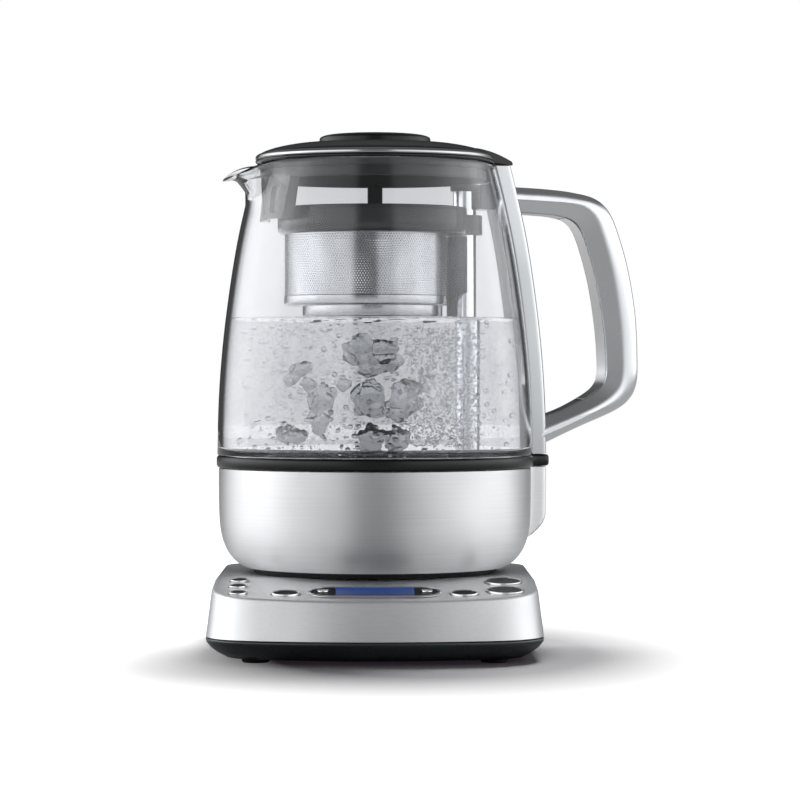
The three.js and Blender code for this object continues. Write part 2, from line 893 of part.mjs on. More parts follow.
function bumpSolid(inset) {
  const reach = skirtRadius + bumpReach - inset;
  const half = bumpHalfWidth - inset;
  const root = skirtFootRadius - inset;
  const low = skirtTop - bumpDrop + inset;
  const high = inset > 0 ? skirtTop + overrun : skirtTop;
  const knee = low + bumpDrop * 0.38;
  const side = [
    [0, high],
    [0, low],
    [root, low],
    [root + (reach - root) * 0.6, low + (knee - low) * 0.3],
    [root + (reach - root) * 0.88, low + (knee - low) * 0.62],
    [reach, knee],
    [reach, high],
  ];
  return common(slabAlongY(side, half), planPad(reach, half, low - overrun, high + overrun));
}

// A bar from the axis out to a reach along +X, with rounded outer corners
function planPad(reach, half, z0, z1) {
  const shape = new THREE.Shape();
  shape.moveTo(0, -half);
  shape.lineTo(reach - bumpCorner, -half);
  shape.absarc(reach - bumpCorner, bumpCorner - half, bumpCorner, -Math.PI / 2, 0);
  shape.absarc(reach - bumpCorner, half - bumpCorner, bumpCorner, 0, Math.PI / 2);
  shape.lineTo(0, half);
  const options = { depth: z1 - z0, bevelEnabled: false, curveSegments: 3 };
  return new THREE.ExtrudeGeometry(shape, options).translate(0, 0, z0);
}

function makeSkirt() {
  const levels = skirtShares.map(([share]) => share);
  const wall = (inset) => levels.map((s) => [skirtRadiusAt(s) - inset, skirtBottom + s * skirtHeight]);
  const outer = turned([[0, skirtBottom], ...wall(0), [0, skirtTop]], fineSides);
  const inner = turned(
    [
      [0, skirtBottom - overrun],
      [skirtRadiusAt(0) - skirtWall, skirtBottom - overrun],
      ...wall(skirtWall),
      [skirtRadiusAt(1) - skirtWall, skirtTop + overrun],
      [0, skirtTop + overrun],
    ],
    fineSides,
  );
  piece(jug, "steel_skirt", cut(join(outer, bumpSolid(0)), inner, bumpSolid(skirtWall)), "steel");
}

function makeBand() {
  const outward = bandRadius - skirtRadius;
  const round = disc(bandRadius, bandBottom, bandTop, fineSides);
  const pad = planPad(skirtRadius + bumpReach + outward, bumpHalfWidth + outward, bandBottom, bandTop);
  const bore = disc(neckRadius + fit, bandBottom - overrun, bandTop + overrun, fineSides);
  const screwHole = disc(handleScrewRadius + fit, bandBottom - overrun, bandTop + overrun, tinySides);
  const band = cut(join(round, pad), bore, screwHole.translate(lowerScrewReach, 0, 0));
  piece(jug, "seam_band", band, "blackPlastic");
}

function spoutShare(angle) {
  const away = Math.abs(Math.abs(angle) - Math.PI) / spoutHalfAngle;
  return away < 1 ? Math.cos((away * Math.PI) / 2) ** 2.2 : 0;
}

// Draws the rim out and down into the spout opposite the handle
function pullSpout(geometry) {
  const places = geometry.attributes.position;
  for (let i = 0; i < places.count; i += 1) {
    const x = places.getX(i);
    const y = places.getY(i);
    const z = places.getZ(i);
    const climb = THREE.MathUtils.clamp((z - rimZ + spoutFoot) / spoutFoot, 0, 1);
    const angle = Math.atan2(y, x);
    const share = spoutShare(angle) * climb;
    const radius = Math.hypot(x, y) + spoutReach * share;
    places.setXYZ(i, radius * Math.cos(angle), radius * Math.sin(angle), z - spoutDrop * share * share);
  }
  return geometry;
}

function makeGlass() {
  const outerHeights = [...glassShares.map(([s]) => glassFoot + s * glassHeight), rimZ - spoutFoot * 0.4];
  outerHeights.sort((a, b) => a - b);
  const innerHeights = outerHeights.filter((z) => z > glassFoot + glassWall * 2).reverse();
  const wall = turned(
    [
      [neckRadius, glassBottom],
      [neckRadius, glassFoot],
      ...outerHeights.map((z) => [glassOuter(z), z]),
      ...innerHeights.map((z) => [glassInner(z), z]),
      [glassInner(glassFoot), glassFoot + glassWall],
      [neckRadius - glassWall, glassFoot - glassWall],
      [neckRadius - glassWall, glassBottom],
    ],
    fineSides,
  );
  const screwZ = rimZ - upperScrewBelowRim;
  const hole = rodAlongX(handleScrewRadius + fit * 2, headBlockReach, glassRadius, screwZ, tinySides);
  piece(jug, "glass_jug", cut(pullSpout(wall), hole), "glass");
  const sealFoot = plateTop + fit;
  const seal = ring(neckRadius - glassWall, neckRadius, sealFoot, sealFoot + sealHeight, fineSides);
  piece(jug, "glass_seal", seal, "silicone");
}

function makeFloor() {
  const plate = disc(skirtRadius - skirtWall - fit, plateBottom, plateTop, fineSides);
  const through = [plateBottom - overrun, plateTop + overrun, tinySides];
  const holes = [
    disc(screwRodRadius + fit * 2, ...through).translate(columnReach, 0, 0),
    disc(probeRadius + fit, ...through).translate(-probeReach, 0, 0),
  ];
  piece(jug, "heating_plate", cut(plate, ...holes), "brightSteel");

  const hang = plateBottom - fit;
  const middle = hang - elementTubeRadius;
  const gapAngle = (elementTubeRadius * 4) / elementRadius;
  const ends = [gapAngle / 2, Math.PI * 2 - gapAngle / 2];
  const arc = new THREE.EllipseCurve(0, 0, elementRadius, elementRadius, ...ends);
  const route = arc.getPoints(roundSides).map((p) => new THREE.Vector3(p.x, p.y, middle));
  const section = new THREE.Shape().absarc(0, 0, elementTubeRadius, 0, Math.PI * 2);
  const tube = new THREE.ExtrudeGeometry(section, {
    steps: roundSides,
    curveSegments: 4,
    extrudePath: new THREE.CatmullRomCurve3(route),
  });
  const legs = [gapAngle, -gapAngle].map((angle) => {
    const leg = disc(elementTubeRadius / 2, middle - elementLegLength, middle, tinySides);
    return leg.translate(elementRadius * Math.cos(angle), elementRadius * Math.sin(angle), 0);
  });
  piece(jug, "heating_element", join(tube, ...legs), "brightSteel");

  const probe = turned(
    [
      [0, hang - probeLength],
      [probeRadius, hang - probeLength],
      [probeRadius, hang - probeFlange],
      [probeRadius * 2, hang - probeFlange],
      [probeRadius * 2, hang],
      [probeRadius, hang],
      [probeRadius, plateTop + probeRise - probeRadius / 2],
      [probeRadius / 2, plateTop + probeRise],
      [0, plateTop + probeRise],
    ],
    tinySides,
  );
  piece(jug, "temperature_probe", probe.translate(-probeReach, 0, 0), "brightSteel");
}

function makeBottomCover() {
  const coverRadius = skirtFootRadius - skirtWall - fit;
  const cover = turned(
    [
      [socketOuter + fit, coverTop],
      [socketOuter + fit, coverBottom],
      [jugFootRadius - jugFootWall, coverBottom],
      [jugFootRadius - jugFootWall, jugFootZ],
      [jugFootRadius, jugFootZ],
      [jugFootRadius + jugFootFlare, coverBottom],
      [coverRadius, coverBottom],
      [coverRadius, coverTop],
    ],
    fineSides,
  );
  piece(jug, "jug_bottom_cover", cover, "blackPlastic");

  const roof = towerTop + contactPinHeight + fit * 2;
  const flangeZ = coverTop + fit;
  const socket = turned(
    [
      [socketInner, coverBottom],
      [socketOuter, coverBottom],
      [socketOuter, flangeZ],
      [socketOuter + socketFlange, flangeZ],
      [socketOuter + socketFlange, flangeZ + socketFlangeHeight],
      [socketOuter, flangeZ + socketFlangeHeight],
      [socketOuter, roof + socketTopWall],
      [0, roof + socketTopWall],
      [0, roof],
      [socketInner, roof],
    ],
    roundSides,
  );
  piece(jug, "power_socket", socket, "blackPlastic");
}

function makeDrive() {
  const motorTop = plateBottom - fit;
  const flangeLow = motorTop - motorFlange;
  const motorLow = flangeLow - motorLength;
  const bore = screwRodRadius + fit;
  const motor = turned(
    [
      [0, motorLow],
      [motorRadius, motorLow],
      [motorRadius, flangeLow],
      [motorRadius + motorFlange, flangeLow],
      [motorRadius + motorFlange, motorTop],
      [bore, motorTop],
      [bore, motorTop - motorBoreDepth],
      [0, motorTop - motorBoreDepth],
    ],
    smallSides,
  );
  piece(jug, "lift_motor", motor.translate(columnReach, 0, 0), "magnet");

  const tube = ring(columnRadius - columnWall, columnRadius, columnBottom, columnTop, smallSides);
  piece(jug, "lift_column", tube.translate(columnReach, 0, 0), "brightSteel");
  const sealTop = columnBottom + columnSealHeight;
  const seal = ring(columnClear, columnClear + columnSealWall, columnBottom, sealTop, smallSides);
  piece(jug, "column_foot_seal", seal.translate(columnReach, 0, 0), "rubber");

  const rodFoot = motorTop - motorBoreDepth + fit;
  const rodTop = columnTop - fit;
  const rod = cut(
    disc(screwRodRadius, rodFoot, rodTop, tinySides),
    box(screwRodRadius * 0.7, screwRodRadius * 2, -overrun, overrun, rodTop - overrun, rodTop + overrun),
  );
  piece(jug, "lead_screw", rod.translate(columnReach, 0, 0), "brightSteel");

  const sleeve = columnRadius - columnWall - fit;
  const magnetLow = magnetBottom();
  const magnetTop = magnetLow + magnetHeight;
  const magnet = ring(bore, sleeve, magnetLow, magnetTop, smallSides);
  piece(jug, "drive_magnet", magnet.translate(columnReach, 0, 0), "magnet");
  const nut = ring(bore, sleeve, magnetTop + fit, magnetTop + fit + nutHeight, smallSides);
  piece(jug, "drive_nut", nut.translate(columnReach, 0, 0), "brass");
}

function magnetBottom() {
  return ringBottom - fit - bracketLength + magnetFoot;
}

function makeColumnHead() {
  const armLow = headTop - headArmHeight;
  const boss = disc(headArmRadius, armLow, headTop, smallSides).translate(columnReach, 0, 0);
  const arm = box(columnReach, headBlockReach, -headArmRadius, headArmRadius, armLow, headTop);
  const reach = glassRadius;
  const blockLow = headTop - headBlockHeight;
  const block = box(headBlockReach - fit, reach, -headHalfWidth, headHalfWidth, blockLow, headTop);
  const levels = heights(blockLow - overrun, headTop + overrun, cornerSteps);
  const bore = turned(
    [[0, levels[0]], ...levels.map((z) => [glassInner(z) - fit, z]), [0, levels.at(-1)]],
    fineSides,
  );
  const socket = disc(columnClear, blockLow - overrun, columnTop + fit, smallSides);
  const screwZ = rimZ - upperScrewBelowRim;
  const screwHole = rodAlongX(handleScrewRadius + fit, upperScrewFoot() - fit, reach, screwZ, tinySides);
  const head = cut(common(join(boss, arm, block), bore), socket.translate(columnReach, 0, 0), screwHole);
  piece(jug, "column_head", head, "greyPlastic");
}

function upperScrewFoot() {
  return headBlockReach * 1.04;
}

function handlePoints(shares, steps) {
  const root = glassRadius + fit + spineThickness;
  const foot = glassFoot + handleBaseRise;
  const places = shares.map(([r, z]) => new THREE.Vector2(root + r * handleDepth, foot + z * handleHeight));
  return new THREE.SplineCurve(places).getPoints(steps).map((p) => [p.x, p.y]);
}

function spineOutline(outward) {
  const levels = heights(glassFoot, rimZ, 10);
  const outside = levels.map((z) => [glassOuter(z) + fit + spineThickness + outward, z]);
  return [[0, glassFoot], ...outside, [0, rimZ]];
}

function makeSpine() {
  const levels = heights(glassFoot - overrun, rimZ + overrun, 12);
  const wall = levels.map((z) => [glassOuter(z) + fit, z]);
  const bore = turned([[0, levels[0]], ...wall, [0, levels.at(-1)]], fineSides);
  const screwZ = rimZ - upperScrewBelowRim;
  const headSeat = upperScrewSeat();
  const lowerEnd = bandBottom + lowerScrewLength() + fit;
  const lowerHole = disc(handleScrewRadius + fit, glassFoot - overrun, lowerEnd, tinySides);
  const holes = [
    rodAlongX(handleScrewRadius + fit, headBlockReach, headSeat + overrun, screwZ, tinySides),
    rodAlongX(handleScrewHead + fit, headSeat - fit, headSeat + glassRadius, screwZ, tinySides),
    lowerHole.translate(lowerScrewReach, 0, 0),
  ];
  const slab = slabAlongY(spineOutline(0), spineHalfWidth, spineEdge);
  piece(jug, "handle_spine", cut(slab, bore, ...holes), "silverPlastic");
}

function upperScrewSeat() {
  return glassOuter(rimZ - upperScrewBelowRim) + fit + spineThickness - handleScrewHeadHeight * 1.5;
}

function lowerScrewLength() {
  return bandHeight + fit + lowerScrewGrip;
}

function makeHandleScrews() {
  const screwZ = rimZ - upperScrewBelowRim;
  const seat = upperScrewSeat();
  const upper = join(
    rodAlongX(handleScrewRadius, upperScrewFoot(), seat + fit, screwZ, tinySides),
    rodAlongX(handleScrewHead, seat, seat + handleScrewHeadHeight, screwZ, tinySides),
  );
  piece(jug, "handle_screw_upper", upper, "brightSteel");
  const headTopZ = bandBottom - fit;
  const lower = turned(
    [
      [0, headTopZ - handleScrewHeadHeight],
      [handleScrewHead, headTopZ - handleScrewHeadHeight],
      [handleScrewHead, headTopZ],
      [handleScrewRadius, headTopZ],
      [handleScrewRadius, bandBottom + lowerScrewLength()],
      [0, bandBottom + lowerScrewLength()],
    ],
    tinySides,
  );
  piece(jug, "handle_screw_lower", lower.translate(lowerScrewReach, 0, 0), "brightSteel");
}

// The band along the grip's inner face that the insert fills, out to a depth
function insertOutline(depth) {
  const inner = handlePoints(handleInnerShares, handleInnerSteps).slice(insertStartSteps, -insertEndSteps);
  const deep = inner.map(([x, z], i) => {
    const [ax, az] = inner[Math.max(i - 1, 0)];
    const [bx, bz] = inner[Math.min(i + 1, inner.length - 1)];
    const length = Math.hypot(bx - ax, bz - az);
    return [x - (depth * (bz - az)) / length, z + (depth * (bx - ax)) / length];
  });
  return { inner, deep };
}

function makeHandle() {
  const inside = handlePoints(handleInnerShares, handleInnerSteps).reverse();
  const outline = [...handlePoints(handleOuterShares, handleOuterSteps), ...inside];
  const spine = slabAlongY(spineOutline(fit), spineHalfWidth * 2);
  const groove = insertOutline(insertThickness + fit);
  const past = insertOutline(-overrun);
  const grooveSlab = slabAlongY([...past.deep, ...groove.deep.reverse()], insertHalfWidth + fit);
  const grip = slabAlongY(outline, handleHalfWidth, handleEdge);
  piece(jug, "handle_grip", cut(grip, spine, grooveSlab), "silverPlastic");
  const insert = insertOutline(insertThickness);
  const strip = slabAlongY([...insert.inner, ...insert.deep.reverse()], insertHalfWidth);
  const reach = handleHalfWidth + overrun;
  const trims = [insert.inner[0], insert.inner.at(-1)].map(([x, z]) => {
    return disc(fit * 2, -reach, reach, tinySides).rotateX(Math.PI / 2).translate(x, 0, z);
  });
  piece(jug, "grip_insert", cut(strip, ...trims), "greyPlastic");
}

// Lid
function makeLid() {
  const trimFoot = lidSeat + lidRimHeight;
  const trimTop = trimFoot + trimHeight;
  const grooveRadius = lidRadius - trimDepth - fit;
  const domeTop = lidSeat + lidDomeHeight;
  const recess = knobRadius + fit * 3;
  const recessZ = domeTop - knobSink;
  const dome = domeShares.map(([r, h]) => [lidRadius * r, trimTop + (domeTop - trimTop) * h]).reverse();
  const hollow = lidRadius - lidSkirt;
  const cap = turned(
    [
      [lidRadius, lidSeat],
      [lidRadius, trimFoot - fit],
      [grooveRadius, trimFoot - fit],
      [grooveRadius, trimTop + fit],
      ...dome,
      [recess, recessZ],
      [knobStemRadius + fit, recessZ],
      [knobStemRadius + fit, recessZ - lidWall],
      [recess, recessZ - lidWall],
      [hollow, trimTop - lidWall / 2],
      [hollow, lidSeat],
    ],
    fineSides,
  );
  const [hoodRoot, hoodTop] = dome[1];
  const tab = slabAlongY(
    [
      [lidRadius - trimDepth, lidSeat],
      [tabReach, lidSeat],
      [tabReach, lidSeat + tabHeight / 2],
      [tabReach - tabHeight / 2, lidSeat + tabHeight],
      [lidRadius, lidSeat + hoodHeight],
      [hoodRoot, hoodTop],
      [hoodRoot, trimTop],
      [lidRadius - trimDepth, trimTop],
    ],
    tabHalfWidth,
  );
  const trimRoom = ring(grooveRadius, lidRadius + fit, trimFoot - fit, trimTop + fit, fineSides);
  piece(jug, "lid_cap", join(cap, cut(tab, trimRoom)), "blackPlastic");

  const bevel = trimHeight / 4;
  const trim = turned(
    [
      [lidRadius - trimDepth, trimFoot],
      [lidRadius - bevel, trimFoot],
      [lidRadius, trimFoot + bevel],
      [lidRadius, trimTop - bevel * 2],
      [lidRadius - bevel, trimTop],
      [lidRadius - trimDepth, trimTop],
    ],
    fineSides,
  );
  piece(jug, "lid_trim", trim, "brightSteel");

  const knobFoot = recessZ + fit;
  const knobTop = knobFoot + knobHeight;
  const knob = turned(
    [
      [0, knobFoot - knobStemLength],
      [knobStemRadius, knobFoot - knobStemLength],
      [knobStemRadius, knobFoot],
      [knobRadius, knobFoot],
      [knobRadius, knobTop - knobHeight * 0.42],
      [knobRadius * 0.93, knobTop - knobHeight * 0.18],
      [knobRadius * 0.7, knobTop],
      [0, knobTop],
    ],
    roundSides,
  );
  piece(jug, "lid_knob", knob, "blackPlastic");
}

function makeCollar() {
  const inner = collarRadius - collarWall;
  const legBottom = collarBottom - collarLegDrop;
  const legTop = collarBottom + fit;
  const hoop = ring(inner, collarRadius, collarBottom, collarTop, fineSides);
  const legSide = [
    [-collarLegFootHalf, legBottom],
    [collarLegFootHalf, legBottom],
    [collarLegTopHalf, legTop],
    [-collarLegTopHalf, legTop],
  ];
  const outward = [-collarRadius - overrun, 0];
  const legRing = ring(inner, collarRadius, legBottom, legTop, fineSides);
  const leg = common(legRing, slabAlongX(legSide, ...outward));
  const slotTop = legTop - slotTopDrop;
  const slots = [1, -1].map((side) => {
    const at = (y, z) => [side * y, z];
    const outline = [
      at(slotReach - slotWidth / 2 - slotLean / 2, slotTop - slotHeight),
      at(slotReach + slotWidth / 2 - slotLean / 2, slotTop - slotHeight),
      at(slotReach + slotWidth / 2 + slotLean / 2, slotTop),
      at(slotReach - slotWidth / 2 + slotLean / 2, slotTop),
    ];
    return slabAlongX(side > 0 ? outline : outline.reverse(), ...outward);
  });
  piece(jug, "lid_collar", cut(join(hoop, leg), ...slots), "greyPlastic");

  const filterRadius = inner - fit;
  const filterTop = slotTop + fit * 6;
  const filterFoot = slotTop - slotHeight - fit * 6;
  const band = ring(filterRadius - filterThickness, filterRadius, filterFoot, filterTop, fineSides);
  const around = [-filterHalfWidth, filterHalfWidth, filterFoot - overrun, filterTop + overrun];
  const sector = box(...outward, ...around);
  piece(jug, "spout_filter", common(band, sector), "brightSteel");

  const sealTop = rimZ - lidSealDrop;
  const sealOuter = glassInner(rimZ) - fit;
  const seal = ring(collarRadius + fit, sealOuter, sealTop - lidSealHeight, sealTop, fineSides);
  piece(jug, "lid_seal", seal, "silicone");
}

// Tea basket
function makeBasket() {
  const shelfZ = ringBottom + ringShelf;
  const low = ringBottom - overrun;
  const high = ringTop + overrun;
  const bore = disc(cupRadius + fit, low, high, fineSides).translate(-cupOffset, 0, 0);
  const mouth = disc(cupRadius + cupLip + fit, shelfZ, high, fineSides).translate(-cupOffset, 0, 0);
  const hoop = disc(ringRadius, ringBottom, ringTop, fineSides).translate(-ringOffset, 0, 0);
  const sleeveTop = ringTop - sleeveDrop;
  const sleeveFoot = sleeveTop - sleeveHeight;
  const sleeve = disc(sleeveRadius, sleeveFoot, sleeveTop, smallSides).translate(columnReach, 0, 0);
  const bridgeRoot = ringRadius - ringOffset - overrun;
  const bridge = box(bridgeRoot, columnReach, -sleeveRadius, sleeveRadius, sleeveFoot, sleeveTop);
  const column = disc(columnClear, low, high, smallSides).translate(columnReach, 0, 0);
  piece(jug, "basket_ring", cut(join(hoop, sleeve, bridge), bore, mouth, column), "greyPlastic");

  const tierTop = cupBottom;
  const tierFoot = cupBottom - tierHeight;
  const inside = cupRadius - cupWall;
  const cup = turned(
    [
      [0, tierTop],
      [inside, tierTop],
      [cupRadius, tierTop + cupWall],
      [cupRadius, cupLipBottom],
      [cupRadius + cupLip, cupLipBottom],
      [cupRadius + cupLip, cupLipTop],
      [0, cupLipTop],
    ],
    fineSides,
  ).translate(-cupOffset, 0, 0);
  const tier = disc(tierRadius, tierFoot, tierTop + cupWall / 2, fineSides).translate(-tierOffset, 0, 0);
  const cupRoom = disc(inside, tierTop + cupWall, cupLipTop + overrun, fineSides).translate(-cupOffset, 0, 0);
  const tierInside = disc(tierRadius - cupWall, tierFoot + cupWall, cupLipTop, fineSides);
  const tierRoom = tierInside.translate(-tierOffset, 0, 0);
  piece(jug, "basket_cup", cut(join(cup, tier), cupRoom, tierRoom), "steel");

  const footTop = tierFoot - fit;
  const footLow = footTop - basketFootRing;
  const outer = tierRadius - basketFootWidth / 4;
  const feet = Array.from({ length: basketFootCount }, (_, i) => {
    const angle = (i * Math.PI * 2) / basketFootCount + jugAngle;
    const foot = disc(basketFootWidth / 2, footLow - basketFootHeight, footTop - fit, tinySides);
    const reach = outer - basketFootWidth / 2;
    return foot.translate(reach * Math.cos(angle), reach * Math.sin(angle), 0);
  });
  const footRing = join(ring(outer - basketFootWidth, outer, footLow, footTop, roundSides), ...feet);
  piece(jug, "basket_foot", footRing.translate(-tierOffset, 0, 0), "greyPlastic");
}

// A ring round the column, only its half towards the jug's axis
function halfRing(inner, outer, z0, z1, back) {
  const half = box(-outer - overrun, -back, -outer - overrun, outer + overrun, z0 - overrun, z1 + overrun);
  return common(ring(inner, outer, z0, z1, smallSides), half);
}

function makeBracket() {
  const top = ringBottom - fit;
  const low = top - bracketLength;
  const outer = sleeveRadius;
  const magnetInner = columnClear + fit;
  const magnetOuter = magnetInner + magnetWall;
  const magnetLow = magnetBottom();
  const saddle = halfRing(columnClear, outer, low, top, bracketSetback);
  const leg = common(
    ring(columnClear, outer, low - bracketLegLength, low + fit, smallSides),
    slabAlongX(
      [
        [-bracketLegHalf / 2, low - bracketLegLength],
        [bracketLegHalf / 2, low - bracketLegLength],
        [bracketLegHalf, low + fit],
        [-bracketLegHalf, low + fit],
      ],
      -outer - overrun,
      0,
    ),
  );
  const magnetTop = magnetLow + magnetHeight;
  const pocket = halfRing(columnRadius, magnetOuter + fit, magnetLow - fit, magnetTop + fit, -overrun);
  const bracket = cut(join(saddle, leg), pocket);
  piece(jug, "slide_bracket", bracket.translate(columnReach, 0, 0), "greyPlastic");
  const magnet = halfRing(magnetInner, magnetOuter, magnetLow, magnetTop, bracketSetback);
  piece(jug, "follower_magnet", magnet.translate(columnReach, 0, 0), "magnet");
}

function makeBasketCover() {
  const outer = cupRadius + cupLip;
  const top = ringTop - coverSink;
  const plateFoot = top - coverPlate;
  const cover = turned(
    [
      [0, plateFoot],
      [outer - coverRimWall, plateFoot],
      [outer - coverRimWall, cupLipTop + fit],
      [outer, cupLipTop + fit],
      [outer, top],
      [0, top],
    ],
    roundSides,
  ).translate(-cupOffset, 0, 0);
  const spigotHole = disc(postSpigotRadius + fit, plateFoot - overrun, top + overrun, tinySides);
  piece(jug, "basket_cover", cut(cover, spigotHole), "greyPlastic");
  const foot = top + fit;
  const post = turned(
    [
      [0, top - postSpigotLength],
      [postSpigotRadius, top - postSpigotLength],
      [postSpigotRadius, foot],
      [postRadius * 1.6, foot],
      [postRadius * 1.6, foot + postRadius * 0.3],
      [postRadius, foot + postRadius * 0.6],
      [postRadius, foot + postHeight - postRadius * 0.3],
      [postRadius * 0.7, foot + postHeight],
      [0, foot + postHeight],
    ],
    smallSides,
  );
  piece(jug, "lifting_post", post, "blackPlastic");
}

makeShell();
makeTub();
makeFeetAndScrews();
makeBoards();
makeTower();
makeGland();
makeDisplay();
makeButtons();
makeSkirt();
makeBand();
makeGlass();
makeFloor();
makeBottomCover();
makeDrive();
makeColumnHead();
makeSpine();
makeHandleScrews();
makeHandle();
makeLid();
makeCollar();
makeBasket();
makeBracket();
makeBasketCover();

// The whole part, moved so that its origin is under the middle of its box
const teaMaker = new THREE.Group();
teaMaker.add(base, jug);
teaMaker.updateMatrixWorld(true);
const extent = new THREE.Box3().setFromObject(teaMaker, true);
const middle = extent.getCenter(new THREE.Vector3());
teaMaker.position.set(-middle.x, -middle.y, -extent.min.z);

const tree = new THREE.Group();
tree.add(teaMaker);
export default tree;
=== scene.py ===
# Automatic tea maker, dressed for rendering: brushed steel, glass, smoky plastic and boiling water
import json
import math
import random

import bmesh
import bpy
from mathutils import Matrix, Vector

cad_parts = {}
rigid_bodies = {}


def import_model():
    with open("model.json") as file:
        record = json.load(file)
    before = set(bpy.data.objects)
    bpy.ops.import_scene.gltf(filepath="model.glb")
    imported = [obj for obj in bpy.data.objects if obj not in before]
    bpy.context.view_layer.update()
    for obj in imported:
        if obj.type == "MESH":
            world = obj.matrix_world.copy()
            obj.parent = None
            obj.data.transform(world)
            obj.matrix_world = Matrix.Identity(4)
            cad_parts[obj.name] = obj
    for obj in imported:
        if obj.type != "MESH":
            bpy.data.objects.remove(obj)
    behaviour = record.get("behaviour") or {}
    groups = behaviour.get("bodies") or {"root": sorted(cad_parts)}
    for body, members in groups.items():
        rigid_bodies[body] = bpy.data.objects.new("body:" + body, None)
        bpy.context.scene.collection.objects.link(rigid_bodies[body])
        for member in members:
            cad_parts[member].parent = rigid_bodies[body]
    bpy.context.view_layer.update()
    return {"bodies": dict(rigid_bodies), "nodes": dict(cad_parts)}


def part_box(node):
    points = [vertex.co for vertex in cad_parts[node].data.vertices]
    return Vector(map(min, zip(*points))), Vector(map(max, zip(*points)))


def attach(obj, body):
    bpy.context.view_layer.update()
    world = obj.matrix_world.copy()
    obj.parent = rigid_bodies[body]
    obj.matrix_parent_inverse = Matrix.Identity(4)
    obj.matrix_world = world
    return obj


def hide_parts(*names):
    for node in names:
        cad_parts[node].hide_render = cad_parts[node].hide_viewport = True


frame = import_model()
print("frame loaded")

mm = 0.001  # every size below is in millimetres
gap = 0.3  # air between pieces that meet
weld = 0.004  # points closer than this become one
plateLow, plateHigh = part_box("heating_plate")
jugAxis = Vector(((plateLow.x + plateHigh.x) / 2, (plateLow.y + plateHigh.y) / 2, 0))
jugAngle = math.radians(17)  # the handle is turned a little away from the viewer


def footOf(node):
    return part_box(node)[0].z / mm


def topOf(node):
    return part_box(node)[1].z / mm


# A node's middle, measured from the jug's axis
def middleOf(node):
    low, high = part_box(node)
    return ((low + high) / 2 - jugAxis) / mm


def radiusOf(node):
    low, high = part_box(node)
    return (high.x - low.x) / 2 / mm


# Mesh helpers: points are in millimetres, faces are lists of point numbers


def addObject(name, data):
    added = bpy.data.objects.new(name, data)
    bpy.context.scene.collection.objects.link(added)
    return added


def meshOf(name, points, faces):
    mesh = bpy.data.meshes.new(name)
    mesh.from_pydata([tuple(c * mm for c in point) for point in points], [], faces)
    return addObject(name, mesh)


def smoothMesh(mesh, sharpAngle):
    mesh.shade_smooth()
    mesh.set_sharp_from_angle(angle=math.radians(sharpAngle))


def buildPiece(name, points, faces, sharpAngle=38):
    piece = meshOf(name, points, faces)
    body = bmesh.new()
    body.from_mesh(piece.data)
    bmesh.ops.remove_doubles(body, verts=body.verts, dist=weld * mm)
    bmesh.ops.recalc_face_normals(body, faces=body.faces)
    body.to_mesh(piece.data)
    body.free()
    smoothMesh(piece.data, sharpAngle)
    return piece


def loft(name, rings, loop=False, sharpAngle=38):
    count = len(rings[0])
    faces = []
    for ring in range(len(rings) if loop else len(rings) - 1):
        near = ring * count
        far = (ring + 1) % len(rings) * count
        for i in range(count):
            j = (i + 1) % count
            faces.append((near + i, near + j, far + j, far + i))
    if not loop:
        end = (len(rings) - 1) * count
        faces += [tuple(range(count)), tuple(range(end, end + count))]
    return buildPiece(name, [point for ring in rings for point in ring], faces, sharpAngle)


def circle(radius, z, sides=96, centreX=0.0, centreY=0.0):
    turns = [2 * math.pi * i / sides for i in range(sides)]
    return [(centreX + radius * math.cos(a), centreY + radius * math.sin(a), z) for a in turns]


# A closed profile of (radius, height) turned about the vertical. A third number rounds its corner
def turned(name, profile, sides=96, centreX=0.0, centreY=0.0, sharpAngle=38, steps=4):
    if len(profile[0]) > 2:
        profile = rounded(profile, steps)
    rings = [circle(max(r, 0), z, sides, centreX, centreY) for r, z in profile]
    return loft(name, rings, loop=True, sharpAngle=sharpAngle)


# Corners are (x, y) or (x, y, cut), and a cut is how much of each side the rounding takes
def rounded(corners, steps=5):
    made = []
    for i, corner in enumerate(corners):
        here = Vector(corner[:2])
        cut = corner[2] if len(corner) > 2 else 0
        if not cut:
            made.append(tuple(here))
            continue
        before = Vector(corners[i - 1][:2])
        after = Vector(corners[(i + 1) % len(corners)][:2])
        start = here + (before - here).normalized() * cut
        end = here + (after - here).normalized() * cut
        for step in range(steps + 1):
            t = step / steps
            made.append(tuple(start.lerp(here, t).lerp(here.lerp(end, t), t)))
    return made


# A smooth line through a few points
def curveThrough(points, steps):
    places = [Vector(point) for point in points]
    dense = []
    for i in range(len(places) - 1):
        a, b, c = places[max(i - 1, 0)], places[i], places[i + 1]
        d = places[min(i + 2, len(places) - 1)]
        for step in range(steps):
            t = step / steps
            bend = (2 * a - 5 * b + 4 * c - d) * t * t + (3 * b - a - 3 * c + d) * t**3
            dense.append((2 * b + (c - a) * t + bend) / 2)
    dense.append(places[-1])
    return dense


def valueAt(line, x):
    for (x0, y0), (x1, y1) in zip(line, line[1:]):
        if x <= x1:
            return y0 + (y1 - y0) * max(0, x - x0) / max(x1 - x0, 1e-6)
    return line[-1][1]


def between(low, high, count):
    return [low + (high - low) * i / (count - 1) for i in range(count)]


# Points along an arc, seen from above
def arc(centreX, centreY, radius, start, end, count):
    turns = between(start, end, count)
    return [(centreX + radius * math.cos(a), centreY + radius * math.sin(a)) for a in turns]


# A flat outline raised from one height to another
def prism(name, outline, low, high):
    return loft(name, [[(x, y, z) for x, y in outline] for z in (low, high)])


def applyModifiers(piece):
    graph = bpy.context.evaluated_depsgraph_get()
    mesh = bpy.data.meshes.new_from_object(piece.evaluated_get(graph))
    piece.modifiers.clear()
    piece.data = mesh


